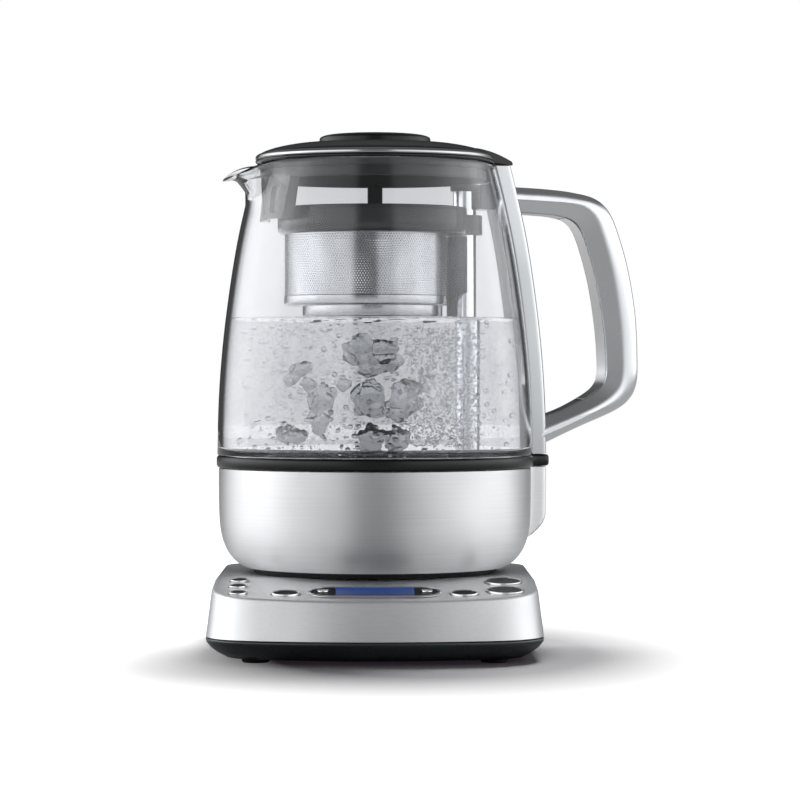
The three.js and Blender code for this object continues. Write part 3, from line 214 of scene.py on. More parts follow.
def combine(piece, operation, *others):
    for other in others:
        step = piece.modifiers.new("combine", "BOOLEAN")
        step.operation = operation
        step.solver = "EXACT"
        step.object = other
        bpy.context.view_layer.update()
        applyModifiers(piece)
        bpy.data.objects.remove(other)
    return piece


# Rounds the edges that the test picks, and keeps the large faces flat
def softenEdges(piece, width, test=None, segments=3, limit=30):
    if test:
        mesh = piece.data
        body = bmesh.new()
        body.from_mesh(mesh)
        weights = body.edges.layers.float.new("bevel_weight_edge")
        for edge in body.edges:
            folded = len(edge.link_faces) == 2 and edge.calc_face_angle() > math.radians(limit)
            middle = (edge.verts[0].co + edge.verts[1].co) / 2 / mm
            edge[weights] = 1.0 if folded and test(middle) else 0.0
        body.to_mesh(mesh)
        body.free()
    bevel = piece.modifiers.new("soft edges", "BEVEL")
    bevel.width = width * mm
    bevel.segments = segments
    bevel.limit_method = "WEIGHT" if test else "ANGLE"
    bevel.angle_limit = math.radians(limit)
    bevel.miter_outer = "MITER_ARC"
    flat = piece.modifiers.new("flat faces", "WEIGHTED_NORMAL")
    flat.keep_sharp = True
    bpy.context.view_layer.update()
    applyModifiers(piece)
    return piece


def joinPieces(name, *pieces):
    body = bmesh.new()
    materials = []
    for piece in pieces:
        start = len(body.faces)
        body.from_mesh(piece.data)
        body.faces.ensure_lookup_table()
        shift = []
        for material in piece.data.materials:
            if material not in materials:
                materials.append(material)
            shift.append(materials.index(material))
        for face in body.faces[start:]:
            if shift:
                face.material_index = shift[face.material_index]
    mesh = bpy.data.meshes.new(name)
    body.to_mesh(mesh)
    body.free()
    for material in materials:
        mesh.materials.append(material)
    for piece in pieces:
        bpy.data.objects.remove(piece)
    return addObject(name, mesh)


def paint(piece, material):
    piece.data.materials.clear()
    piece.data.materials.append(material)
    return piece


# Puts a piece in its place in the frame and hands it to its body
def seat(piece, body, nodes, turnedWithJug=True, matrix=None):
    piece.location = jugAxis
    if matrix is not None:
        piece.matrix_world = Matrix.Translation(jugAxis) @ matrix
    elif turnedWithJug:
        piece.data.transform(Matrix.Rotation(jugAngle, 4, "Z"))
    flat = piece.modifiers.new("flat faces", "WEIGHTED_NORMAL")
    flat.keep_sharp = True
    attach(piece, body)
    if nodes:
        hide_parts(*nodes)
    return piece


# Material helpers


# Feeds a socket from another node, or gives it a fixed value
def feed(tree, value, socket):
    if hasattr(value, "is_output"):
        tree.links.new(value, socket)
    else:
        socket.default_value = value


def feedAll(tree, node, inputs):
    for label, value in inputs.items():
        feed(tree, value, node.inputs[label])


def addNode(tree, kind, inputs=None, **settings):
    node = tree.nodes.new("ShaderNode" + kind)
    for label, value in settings.items():
        setattr(node, label, value)
    feedAll(tree, node, inputs or {})
    return node


def newMaterial(name, inputs=None):
    material = bpy.data.materials.new(name)
    material.use_nodes = True
    tree = material.node_tree
    tree.nodes.clear()
    output = addNode(tree, "OutputMaterial")
    shader = addNode(tree, "BsdfPrincipled", inputs)
    tree.links.new(shader.outputs["BSDF"], output.inputs["Surface"])
    return material, tree, shader


# Inputs are label, kind and value; outputs are the labels of plain numbers
def newGroup(name, inputs, outputs):
    group = bpy.data.node_groups.new(name, "ShaderNodeTree")
    for label, kind, value in inputs:
        socket = group.interface.new_socket(name=label, in_out="INPUT", socket_type="NodeSocket" + kind)
        if value is not None:
            socket.default_value = value
    for label in outputs:
        group.interface.new_socket(name=label, in_out="OUTPUT", socket_type="NodeSocketFloat")
    return group, group.nodes.new("NodeGroupInput"), group.nodes.new("NodeGroupOutput")


def mathNode(tree, operation, first, second=0.0):
    return addNode(tree, "Math", {0: first, 1: second}, operation=operation).outputs[0]


def noiseNode(tree, vector, scale, detail=3.0, roughness=0.6):
    inputs = {"Vector": vector, "Scale": scale, "Detail": detail, "Roughness": roughness}
    return addNode(tree, "TexNoise", inputs).outputs["Fac"]


def rangeOf(tree, value, low, high, fromLow=0.3, fromHigh=0.7):
    inputs = {"Value": value, "From Min": fromLow, "From Max": fromHigh, "To Min": low, "To Max": high}
    return addNode(tree, "MapRange", inputs).outputs["Result"]


def mixColour(tree, factor, first, second, blend="MIX"):
    node = addNode(tree, "Mix", data_type="RGBA", blend_type=blend)
    feed(tree, factor, node.inputs["Factor"])
    for socket, value in zip(node.inputs[6:8], (first, second)):
        feed(tree, value if hasattr(value, "is_output") else (*value, 1), socket)
    return node.outputs[2]


def axesOf(tree, coordinates="Object"):
    place = addNode(tree, "TexCoord").outputs[coordinates]
    return addNode(tree, "SeparateXYZ", {0: place}).outputs


groupLooks = {
    "wallRadius": 0.08,  # metres, turns an angle into a length
    "cloudScale": 22.0,
    "driftScale": 14.0,
    "edgeFrom": 0.56,
    "edgeGain": 7.0,
    "edgeBreaks": 260.0,
}


# Brush lines that run round the vertical, or along the piece's own X where Around is 0
def makeBrushGroup():
    inputs = [
        ("Vector", "Vector", None),
        ("Around", "Float", 1.0),
        ("Lines", "Float", 2600.0),
        ("Length", "Float", 14.0),
    ]
    group, take, give = newGroup("brushLines", inputs, ["Lines", "Cloud"])
    given = take.outputs
    axes = addNode(group, "SeparateXYZ", {0: given["Vector"]}).outputs
    angle = mathNode(group, "ARCTAN2", axes["Y"], axes["X"])
    turn = mathNode(group, "MULTIPLY", angle, groupLooks["wallRadius"])
    along = addNode(group, "Mix", {0: given["Around"], 2: axes["X"], 3: turn}).outputs[0]
    across = addNode(group, "Mix", {0: given["Around"], 2: axes["Y"], 3: 0.0}).outputs[0]
    spread = [(along, "Length"), (across, "Lines"), (axes["Z"], "Lines")]
    stretched = {i: mathNode(group, "MULTIPLY", value, given[by]) for i, (value, by) in enumerate(spread)}
    place = addNode(group, "CombineXYZ", stretched).outputs[0]
    lines = noiseNode(group, place, 1.0, 4.0, 0.65)
    cloud = noiseNode(group, given["Vector"], groupLooks["cloudScale"], 2.0, 0.5)
    feedAll(group, give, {"Lines": lines, "Cloud": cloud})
    return group


# Fine moulded grain with a slow drift of tone
def makeGrainGroup():
    inputs = [("Vector", "Vector", None), ("Scale", "Float", 900.0)]
    group, take, give = newGroup("mouldedGrain", inputs, ["Grain", "Drift"])
    place = take.outputs["Vector"]
    grain = noiseNode(group, place, take.outputs["Scale"])
    feedAll(group, give, {"Grain": grain, "Drift": noiseNode(group, place, groupLooks["driftScale"], 2.0)})
    return group


# Light rubs along raised edges, and nothing elsewhere
def makeEdgeGroup():
    inputs = [("Vector", "Vector", None), ("Wear", "Float", 0.5)]
    group, take, give = newGroup("edgeRub", inputs, ["Mask"])
    shape = addNode(group, "NewGeometry")
    raised = mathNode(group, "SUBTRACT", shape.outputs["Pointiness"], groupLooks["edgeFrom"])
    sharp = mathNode(group, "MULTIPLY", raised, groupLooks["edgeGain"])
    broken = noiseNode(group, take.outputs["Vector"], groupLooks["edgeBreaks"])
    mask = mathNode(group, "MULTIPLY", sharp, broken)
    worn = mathNode(group, "MULTIPLY", mask, take.outputs["Wear"])
    feed(group, addNode(group, "Clamp", {0: worn}).outputs[0], give.inputs["Mask"])
    return group


brushGroup = makeBrushGroup()
grainGroup = makeGrainGroup()
edgeGroup = makeEdgeGroup()


def placeGroup(tree, group, **values):
    place = addNode(tree, "TexCoord").outputs["Object"]
    return addNode(tree, "Group", {"Vector": place, **values}, node_tree=group)


def bumpFrom(tree, shader, height, strength, distance):
    bump = addNode(tree, "Bump", {"Strength": strength, "Distance": distance * mm, "Height": height})
    feed(tree, bump.outputs["Normal"], shader.inputs["Normal"])


def toned(colour, share, lift=0.0):
    return tuple(min(c * share + lift, 1) for c in colour)


def brushedMetal(name, colour, roughness, around=1.0, anisotropic=0.0, lines=2600.0):
    material, tree, shader = newMaterial(name, {"Metallic": 1.0, "Anisotropic": anisotropic})
    if anisotropic:
        tangent = addNode(tree, "Tangent", direction_type="RADIAL", axis="Z").outputs[0]
        feedAll(tree, shader, {"Tangent": tangent, "Anisotropic Rotation": 0.25})
    brush = placeGroup(tree, brushGroup, Around=around, Lines=lines)
    rub = placeGroup(tree, edgeGroup, Wear=0.4)
    tone = mixColour(tree, rangeOf(tree, brush.outputs["Lines"], 0, 1), toned(colour, 0.9), colour)
    rubbed = mixColour(tree, rub.outputs["Mask"], tone, toned(colour, 1.12))
    cloud = rangeOf(tree, brush.outputs["Cloud"], roughness * 0.92, roughness * 1.1)
    streak = rangeOf(tree, brush.outputs["Lines"], -0.03, 0.03)
    feedAll(tree, shader, {"Base Color": rubbed, "Roughness": mathNode(tree, "ADD", cloud, streak)})
    bumpFrom(tree, shader, brush.outputs["Lines"], 0.35, 0.02)
    return material


def polishedMetal(name, colour, roughness):
    material, tree, shader = newMaterial(name, {"Metallic": 1.0})
    grain = placeGroup(tree, grainGroup, Scale=420.0)
    rub = placeGroup(tree, edgeGroup, Wear=0.5)
    drift = rangeOf(tree, grain.outputs["Drift"], roughness * 0.8, roughness * 1.25)
    rubbed = mixColour(tree, rub.outputs["Mask"], colour, toned(colour, 1.06))
    feedAll(tree, shader, {"Base Color": rubbed, "Roughness": drift})
    bumpFrom(tree, shader, grain.outputs["Grain"], 0.05, 0.01)
    return material


def mouldedPlastic(name, colour, roughness, coat=0.0, scale=900.0, depth=0.02, specular=0.5):
    inputs = {"Coat Weight": coat, "Coat Roughness": 0.06, "Specular IOR Level": specular}
    material, tree, shader = newMaterial(name, inputs)
    grain = placeGroup(tree, grainGroup, Scale=scale)
    rub = placeGroup(tree, edgeGroup, Wear=0.6)
    drift = rangeOf(tree, grain.outputs["Drift"], 0, 1)
    tone = mixColour(tree, drift, colour, toned(colour, 1.15, 0.004))
    rubbed = mixColour(tree, rub.outputs["Mask"], tone, toned(colour, 1.5, 0.008))
    rough = rangeOf(tree, grain.outputs["Grain"], roughness * 0.88, roughness * 1.14)
    feedAll(tree, shader, {"Base Color": rubbed, "Roughness": rough})
    bumpFrom(tree, shader, grain.outputs["Grain"], 0.2, depth)
    return material


def clearGlass(name, colour, ior, roughness=0.0):
    inputs = {"Base Color": (*colour, 1), "Transmission Weight": 1.0, "IOR": ior, "Roughness": roughness}
    return newMaterial(name, inputs)[0]


displayLook = {
    "low": (0.008, 0.03, 0.13),
    "high": (0.018, 0.055, 0.24),
    "from": 0.016,  # metres up the panel
    "to": 0.034,
    "glow": 0.8,
    "specular": 0.06,
}


# The blue glows for the camera alone, so that the steel doesn't mirror it
def displayMaterial():
    look = displayLook
    material, tree, shader = newMaterial("blueDisplay", {"Specular IOR Level": look["specular"]})
    grain = placeGroup(tree, grainGroup, Scale=1400.0)
    rise = rangeOf(tree, axesOf(tree)["Y"], 0, 1, look["from"], look["to"])
    tone = mixColour(tree, rise, look["low"], look["high"])
    seen = addNode(tree, "LightPath").outputs["Is Camera Ray"]
    glow = mathNode(tree, "MULTIPLY", seen, look["glow"])
    rough = rangeOf(tree, grain.outputs["Grain"], 0.12, 0.2)
    lit = {"Base Color": tone, "Emission Color": tone, "Emission Strength": glow, "Roughness": rough}
    feedAll(tree, shader, lit)
    return material


steel = brushedMetal("brushedSteel", (0.86, 0.865, 0.875), 0.5, anisotropic=0.85)
panelSteel = brushedMetal("panelSteel", (0.84, 0.845, 0.855), 0.5, around=0.0, anisotropic=0.6)
plateSteel = brushedMetal("plateSteel", (0.6, 0.61, 0.62), 0.3, lines=1400.0)
meshSteel = polishedMetal("meshSteel", (0.46, 0.465, 0.475), 0.18)
cupSteel = polishedMetal("cupSteel", (0.48, 0.485, 0.495), 0.15)
columnSteel = polishedMetal("columnSteel", (0.76, 0.77, 0.79), 0.14)
chrome = polishedMetal("buttonChrome", (0.8, 0.8, 0.81), 0.08)
trimChrome = polishedMetal("trimChrome", (0.38, 0.385, 0.39), 0.16)
handleMetal = polishedMetal("handleSilver", (0.62, 0.632, 0.65), 0.24)
spineMetal = polishedMetal("spineSilver", (0.42, 0.43, 0.44), 0.2)
insertMetal = polishedMetal("insertSilver", (0.86, 0.865, 0.87), 0.2)
smokyGrey = mouldedPlastic("smokyGrey", (0.026, 0.031, 0.037), 0.16, depth=0.002, specular=0.42)
collarPlastic = mouldedPlastic("collarGrey", (0.03, 0.035, 0.042), 0.16, depth=0.002, specular=0.4)
lidBlack = mouldedPlastic("lidBlack", (0.012, 0.013, 0.015), 0.24, depth=0.006, specular=0.42)
knobBlack = mouldedPlastic("knobBlack", (0.01, 0.011, 0.0125), 0.3, specular=0.3)
tubBlack = mouldedPlastic("tubBlack", (0.055, 0.068, 0.074), 0.3, depth=0.006, specular=0.6)
bandBlack = mouldedPlastic("bandBlack", (0.006, 0.0065, 0.007), 0.3, specular=0.3)
buttonDark = mouldedPlastic("buttonDark", (0.04, 0.042, 0.046), 0.4, specular=0.02)
buttonSlate = mouldedPlastic("buttonSlate", (0.09, 0.096, 0.105), 0.4, specular=0.02)
postBlack = mouldedPlastic("postBlack", (0.002, 0.002, 0.0022), 0.4, specular=0.03)
linerGrey = mouldedPlastic("linerGrey", (0.14, 0.15, 0.165), 0.4, specular=0.3)
rubber = mouldedPlastic("footRubber", (0.012, 0.012, 0.013), 0.7, scale=600.0, depth=0.05, specular=0.2)
silicone = mouldedPlastic("greySilicone", (0.06, 0.064, 0.068), 0.45)
boardGreen = mouldedPlastic("boardGreen", (0.012, 0.09, 0.03), 0.45, coat=0.4)
magnetGrey = polishedMetal("magnetGrey", (0.3, 0.31, 0.32), 0.3)
brass = polishedMetal("nutBrass", (0.66, 0.45, 0.16), 0.22)
screwSteel = polishedMetal("screwSteel", (0.6, 0.61, 0.62), 0.2)
jugGlass = clearGlass("jugGlass", (0.8, 0.805, 0.82), 1.45)
blueDisplay = displayMaterial()
print("materials made")

# Base: a steel shell over a black tub, with the sloped control panel in front
baseSizes = {
    "halfWidth": 82,
    "front": 112,
    "rear": 85,
    "bow": 16,
    "corner": 26,
    "taper": 2.4,
    "sideHeight": 18.7,
    "panelRun": 64,
    "panelRise": 7.3,
    "edge": 1.3,
    "edgeZone": 4,  # rounded from this far under the panel's foot
    "blankOver": 6,
    "cutReach": 200,
    "cutHeight": 20,
}
shellFoot = topOf("base_tub") + gap
seatZ = topOf("base_shell")
panelFrontZ = seatZ - baseSizes["panelRise"]
panelLength = math.hypot(baseSizes["panelRun"], baseSizes["panelRise"])
panelAngle = math.atan2(baseSizes["panelRise"], baseSizes["panelRun"])
panelPlace = Matrix.Translation(Vector((0, -baseSizes["front"], panelFrontZ)) * mm)
panelMatrix = panelPlace @ Matrix.Rotation(panelAngle, 4, "X")


def quadCurve(start, bend, end, steps):
    a, b, c = Vector(start), Vector(bend), Vector(end)
    return [a.lerp(b, t).lerp(b.lerp(c, t), t) for t in (i / steps for i in range(steps))]


# The base seen from above, drawn in by an inset
def basePlan(inset, z):
    half = baseSizes["halfWidth"] - inset
    front = baseSizes["front"] - inset
    rear = baseSizes["rear"] - inset
    corner = max(baseSizes["corner"] - inset, 1)
    reach = half - corner
    bow = baseSizes["bow"] * (reach / half) ** 2
    bowY = bow - front
    kneeY = bowY + bow * 2 / reach * corner
    line = quadCurve((-reach, bowY), (0, -front - bow), (reach, bowY), 24)
    line += quadCurve((reach, bowY), (half, kneeY), (half, kneeY + corner), 14)
    for side, start in ((1, 0), (-1, math.pi / 2)):
        line += arc(side * reach, rear - corner, corner, start, start + math.pi / 2, 13)
    line += quadCurve((-half, kneeY + corner), (-half, kneeY), (-reach, bowY), 14)
    return [(x, y, z) for x, y in line]


def makeShell():
    sizes = baseSizes
    lean = sizes["taper"] / sizes["sideHeight"]
    high = seatZ + sizes["blankOver"]
    shell = loft("baseShell", [basePlan(lean * (z - shellFoot), z) for z in (shellFoot, high)])
    reach, over = sizes["cutReach"], high + sizes["cutHeight"]
    crease = sizes["panelRun"] - sizes["front"]
    frontEdge = panelFrontZ - sizes["panelRise"] / sizes["panelRun"] * (reach - sizes["front"])
    side = [(-reach, frontEdge), (crease, seatZ), (reach, seatZ), (reach, over), (-reach, over)]
    above = loft("above", [[(x, y, z) for y, z in side] for x in (-reach, reach)])
    combine(shell, "DIFFERENCE", above)
    softenEdges(shell, sizes["edge"], lambda p: p.z > panelFrontZ - sizes["edgeZone"], segments=4)
    pockets = [pocketFor(name) for name, button in buttonSizes.items() if not button.get("inDisplay")]
    cutter = joinPieces("panelPockets", *pockets, displayPocket())
    cutter.data.transform(panelMatrix)
    combine(shell, "DIFFERENCE", cutter)
    smoothMesh(shell.data, 30)
    seat(paint(shell, panelSteel), "base", ["base_shell"], turnedWithJug=False)


# Buttons: place across the panel, share of its length, radius and look
buttonSizes = {
    "warm": {"x": -65.7, "share": 0.368, "radius": 4.5, "dish": "dark"},
    "clock": {"x": -66.5, "share": 0.641, "radius": 4.5, "dish": "dark"},
    "auto_start": {"x": -66.5, "share": 0.884, "radius": 4.5, "dish": "dark"},
    "water": {"x": -42.8, "share": 0.343, "radius": 6.9, "dish": "dark"},
    "tea": {"x": 42.8, "share": 0.343, "radius": 6.9, "dish": "dark"},
    "down": {"x": -25, "share": 0.367, "radius": 2.7, "dish": "chrome", "inDisplay": True},
    "up": {"x": 25, "share": 0.367, "radius": 2.7, "dish": "chrome", "inDisplay": True},
    "start": {"x": 62.7, "share": 0.453, "radius": 9.15, "dish": "slate"},
    "basket": {"x": 62.7, "share": 0.828, "radius": 9.15, "dish": "slate"},
}
dishLooks = {"dark": buttonDark, "slate": buttonSlate, "chrome": chrome}
buttonForm = {
    "rise": 1.0,
    "foot": -2.2,
    "displayRise": 1.7,
    "displayFoot": -2.6,
    "gap": 0.4,
    "pocket": 4,
    "edge": 0.35,
    "rimShare": 0.86,
    "wideRimShare": 0.9,
    "wideFrom": 8,
    "blackFrom": 6.9,
    "bore": 1,
    "dishFoot": 1.2,
    "dishEdge": 0.3,
    "dishGap": 0.05,
}
dishCurve = [(0.92, 0.24), (0.7, 0.42), (0.4, 0.55), (0, 0.6)]  # share of the rim, depth under the top


def pocketFor(name):
    sizes, edge, deep = buttonSizes[name], buttonForm["edge"], buttonForm["pocket"]
    radius = sizes["radius"] + buttonForm["gap"]
    profile = [(0, -deep), (radius, -deep), (radius, -0.5), (radius, 0), (radius + edge, edge)]
    profile += [(radius + edge, deep), (0, deep)]
    return turned("pocket", profile, 64, sizes["x"], sizes["share"] * panelLength)


def makeButton(name):
    sizes, form = buttonSizes[name], buttonForm
    radius, edge = sizes["radius"], form["edge"]
    inDisplay = sizes.get("inDisplay")
    foot = form["displayFoot" if inDisplay else "foot"]
    top = form["displayRise" if inDisplay else "rise"]
    rim = radius * form["rimShare" if radius < form["wideFrom"] else "wideRimShare"]
    place = (sizes["x"], sizes["share"] * panelLength)
    ring = [(radius, foot), (radius, top - edge), (radius - edge * 0.3, top - edge * 0.3)]
    ring += [(radius - edge, top), (rim + edge, top), (rim, top - edge), (rim, top - form["bore"])]
    collar = turned(name + "_rim", ring + [(radius * 0.5, foot)], 64, *place)
    bowl = [(rim - form["dishGap"], top - drop) for drop in (form["dishFoot"], form["dishEdge"])]
    bowl += [(rim * share, top - drop) for share, drop in dishCurve] + [(0, top - form["dishFoot"])]
    dish = turned(name + "_dish", bowl, 64, *place)
    button = joinPieces(name + "Key", paint(collar, chrome), paint(dish, dishLooks[sizes["dish"]]))
    seat(button, name + "_key", [name + "_button"], matrix=panelMatrix)


displaySizes = {
    "length": 64.5,
    "width": 25,
    "rise": 1.2,
    "rim": 1.3,
    "edge": 0.25,
    "crown": 0.35,
    "window": 38,
    "windowWidth": 20.4,
    "windowEdge": 0.15,
    "cut": 6,
}
displayMiddle = buttonSizes["down"]["share"] * panelLength
squareCorners = ((-1, -1), (1, -1), (1, 1), (-1, 1))


# A flat shape with round ends, drawn in by an inset
def stadium(inset, z):
    radius = displaySizes["width"] / 2 - inset
    reach = (displaySizes["length"] - displaySizes["width"]) / 2
    line = arc(reach, displayMiddle, radius, -math.pi / 2, math.pi / 2, 25)
    line += arc(-reach, displayMiddle, radius, math.pi / 2, math.pi * 1.5, 25)
    return [(x, y, z) for x, y in line]


def displayPocket():
    inset, deep = displaySizes["rise"], buttonForm["pocket"]
    return loft("displayPocket", [stadium(inset, -deep), stadium(inset, deep)])


def windowBox(name, grow, low, high, cut):
    halfX = displaySizes["window"] / 2 + grow
    halfY = displaySizes["windowWidth"] / 2 + grow
    plan = rounded([(x * halfX, y * halfY, cut) for x, y in squareCorners], 4)
    return prism(name, [(x, y + displayMiddle) for x, y in plan], low, high)


# A plain upright cylinder, for boring holes
def rod(name, radius, low, high, sides, centreX=0.0, centreY=0.0):
    return turned(name, [(0, low), (radius, low), (radius, high), (0, high)], sides, centreX, centreY)


def makeDisplay():
    sizes = displaySizes
    rise, rim, edge, crown, cut = (sizes[label] for label in ("rise", "rim", "edge", "crown", "cut"))
    levels = [(edge, gap), (0, gap + edge), (0, rise - crown), (crown, rise), (rim - edge, rise)]
    levels += [(rim, rise - edge), (rim, gap)]
    bezel = loft("displayBezel", [stadium(inset, z) for inset, z in levels], loop=True)
    levels = [(rim + 0.05, -1), (rim + 0.05, rise - 0.45), (rim + 0.3, rise - 0.3)]
    face = paint(loft("displayFace", [stadium(inset, z) for inset, z in levels]), buttonDark)
    holes = [windowBox("sight", edge, rise - 1.2, cut, 0.8)]
    for name in ("down", "up"):
        button = buttonSizes[name]
        radius = button["radius"] + buttonForm["gap"]
        holes.append(rod("keyHole", radius, -cut, cut, 48, button["x"], button["share"] * panelLength))
    combine(face, "DIFFERENCE", *holes)
    smoothMesh(face.data, 30)
    plate = joinPieces("displayFrame", paint(bezel, chrome), face)
    seat(plate, "base", ["display_frame"], matrix=panelMatrix)
    window = windowBox("displayWindow", 0, rise - 1.1, rise - sizes["windowEdge"], 0.7)
    softenEdges(window, sizes["windowEdge"], segments=2)
    seat(paint(window, blueDisplay), "base", ["display_window"], matrix=panelMatrix)


tubSizes = {"chamferIn": 10, "chamferUp": 8, "lipIn": 0.4, "lipDown": 0.5, "well": 3.4, "wellDepth": 0.3}
tubShares = [(1, 0), (0.55, 0.3), (0.22, 0.62), (0.025, 0.92), (0, 1.05)]  # shares of the chamfer


def makeTub():
    sizes = tubSizes
    foot, top = footOf("base_tub"), topOf("base_tub")
    levels = [(sizes["chamferIn"] * inward, foot + sizes["chamferUp"] * up) for inward, up in tubShares]
    levels += [(0, top - sizes["lipDown"]), (sizes["lipIn"], top)]
    tub = loft("baseTub", [basePlan(inset, z) for inset, z in levels], sharpAngle=50)
    wells = []
    for number in range(1, 5):
        spot = middleOf(f"base_screw_{number}")
        wells.append(rod("well", sizes["well"], foot - 3, foot + sizes["wellDepth"], 32, spot.x, spot.y))
    combine(tub, "DIFFERENCE", *wells)
    smoothMesh(tub.data, 50)
    seat(paint(tub, tubBlack), "base", ["base_tub"], turnedWithJug=False)


padSizes = {"edge": 0.6, "cheek": 0.9, "rise": 1.7, "peg": 2.4, "pegTop": 3.8, "groove": 0.35}
grooveShares = (0.62, 0.7)


def makeFeet():
    sizes = padSizes
    for number in range(1, 5):
        node = f"foot_{number}"
        middle, radius = middleOf(node), radiusOf(node)
        shape = [
            (0, 0, 0),
            (radius - sizes["edge"], 0, 0.5),
            (radius, sizes["cheek"], 0.4),
            (radius, sizes["rise"], 0),
            (sizes["peg"], sizes["rise"], 0),
            (sizes["peg"], sizes["pegTop"], 0),
            (0, sizes["pegTop"], 0),
        ]
        foot = turned("foot" + str(number), shape, 48, middle.x, middle.y, steps=3)
        inner, outer = (radius * share for share in grooveShares)
        groove = [(inner, -0.2), (outer, -0.2), (outer, sizes["groove"]), (inner, sizes["groove"])]
        combine(foot, "DIFFERENCE", turned("groove", groove, 48, middle.x, middle.y))
        smoothMesh(foot.data, 35)
        seat(paint(foot, rubber), "base", [node], turnedWithJug=False)


towerSizes = {
    "radius": 18,
    "flange": 24,
    "flangeHeight": 1.6,
    "stem": 15,
    "stemLength": 5,
    "well": 11.16,
    "wellDepth": 3.4,
    "socket": 5,
    "pin": 2.5,
    "pinGap": 1,
    "pinRise": 1.6,
}
contactShares = (0.44, 0.52)


def makeTower():
    sizes = towerSizes
    radius, pin, well = sizes["radius"], sizes["pin"], sizes["well"]
    pinTop = topOf("connector_tower")
    top = pinTop - sizes["pinRise"]
    flat = seatZ + gap
    rim, floor = flat + sizes["flangeHeight"], top - sizes["wellDepth"]
    shape = [
        (0, flat - sizes["stemLength"], 0),
        (sizes["stem"], flat - sizes["stemLength"], 0),
        (sizes["stem"], flat, 0),
        (sizes["flange"], flat, 0),
        (sizes["flange"], rim, 0.6),
        (radius, rim, 0.6),
        (radius, top, 2),
        (well, top, 0.5),
        (well, floor, 0.3),
        (sizes["socket"], floor, 0.3),
        (sizes["socket"], top, 0.4),
        (pin + sizes["pinGap"], top, 0.2),
        (pin + sizes["pinGap"], top - sizes["pinRise"], 0),
        (0, top - sizes["pinRise"], 0),
    ]
    body = turned("towerBody", shape)
    stud = turned("towerPin", [(0, top - 4, 0), (pin, top - 4, 0), (pin, pinTop, 0.9), (0, pinTop, 0)], 48)
    near, far = (radius * share for share in contactShares)
    low, high = floor - 0.1, floor + 0.6
    ring = turned("towerContact", [(near, low), (near, high), (far, high), (far, low)])
    tower = joinPieces("connectorTower", paint(body, tubBlack), paint(stud, brass), paint(ring, brass))
    seat(tower, "base", ["connector_tower"], turnedWithJug=False)


glandSizes = {"pipe": 6, "pipeLength": 9, "flange": 1.8, "mouth": 5, "bore": 3.4, "boreDepth": 1.6}


def makeGland():
    sizes = glandSizes
    middle, radius = middleOf("cord_gland"), radiusOf("cord_gland")
    wall = (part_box("cord_gland")[1].y - jugAxis.y) / mm
    shape = [
        (0, -sizes["pipeLength"], 0),
        (sizes["pipe"], -sizes["pipeLength"], 0),
        (sizes["pipe"], -sizes["flange"], 0),
        (radius, -sizes["flange"], 0.3),
        (radius, 0, 0.7),
        (sizes["mouth"], 0, 0.4),
        (sizes["bore"], -1, 0.3),
        (sizes["bore"], -sizes["boreDepth"], 0),
        (0, -sizes["boreDepth"], 0),
    ]
    gland = turned("cordGland", shape, 64)
    gland.data.transform(Matrix.Rotation(-math.pi / 2, 4, "X"))
    gland.data.transform(Matrix.Translation(Vector((middle.x, wall, middle.z)) * mm))
    seat(paint(gland, rubber), "base", ["cord_gland"], turnedWithJug=False)


# Jug body: steel skirt and black band, both with the boss that carries the handle
skirtSizes = {
    "radius": 79.2,
    "footRadius": 66,
    "wall": 1.2,
    "boss": 10.6,
    "bossHalf": 10.5,
    "bossFoot": 53.5,
    "bossFull": 66.5,
}
skirtShares = [(0, 1), (0.06, 0.64), (0.14, 0.38), (0.22, 0.227)]
skirtShares += [(0.3, 0.121), (0.46, 0.03), (0.7, 0), (1, 0)]
bossShares = [(1.22, 0), (1.1, 0.05), (1.03, 0.18), (1.004, 0.4), (0.996, 0.68), (0.97, 0.83), (0.88, 0.94)]
bossShares += [(0.74, 0.99), (0.6, 1), (0.3, 1), (0, 1)]
skirtLevelShares = (0, 0.015, 0.03, 0.05, 0.08, 0.11, 0.15, 0.19, 0.24, 0.3, 0.36, 0.42)  # levels of its foot
thinnestBoss = 0.01


# A ring with the handle's boss standing out of it along +X
def bossRing(radius, boss, half, z, sides=150):
    shares = bossShares + [(-y, w) for y, w in reversed(bossShares[:-1])]
    full = min(1, boss / thinnestBoss)
    line = []
    for share, weight in shares:
        y = share * half
        onRing = math.sqrt(radius * radius - y * y)
        line.append((onRing + (radius + boss - onRing) * weight * full, y, z))
    start = math.asin(bossShares[0][0] * half / radius)
    line += [(x, y, z) for x, y in arc(0, 0, radius, -start, start - 2 * math.pi, sides)[1:-1]]
    return line


def skirtRadiusAt(z):
    share = (z - footOf("steel_skirt")) / (topOf("steel_skirt") - footOf("steel_skirt"))
    into = valueAt([(p.x, p.y) for p in curveThrough(skirtShares, 6)], share)
    return skirtSizes["radius"] - (skirtSizes["radius"] - skirtSizes["footRadius"]) * into


def bossAt(z):
    share = min(max((z - skirtSizes["bossFoot"]) / (skirtSizes["bossFull"] - skirtSizes["bossFoot"]), 0), 1)
    return skirtSizes["boss"] * math.sin(share * math.pi / 2) ** 0.9


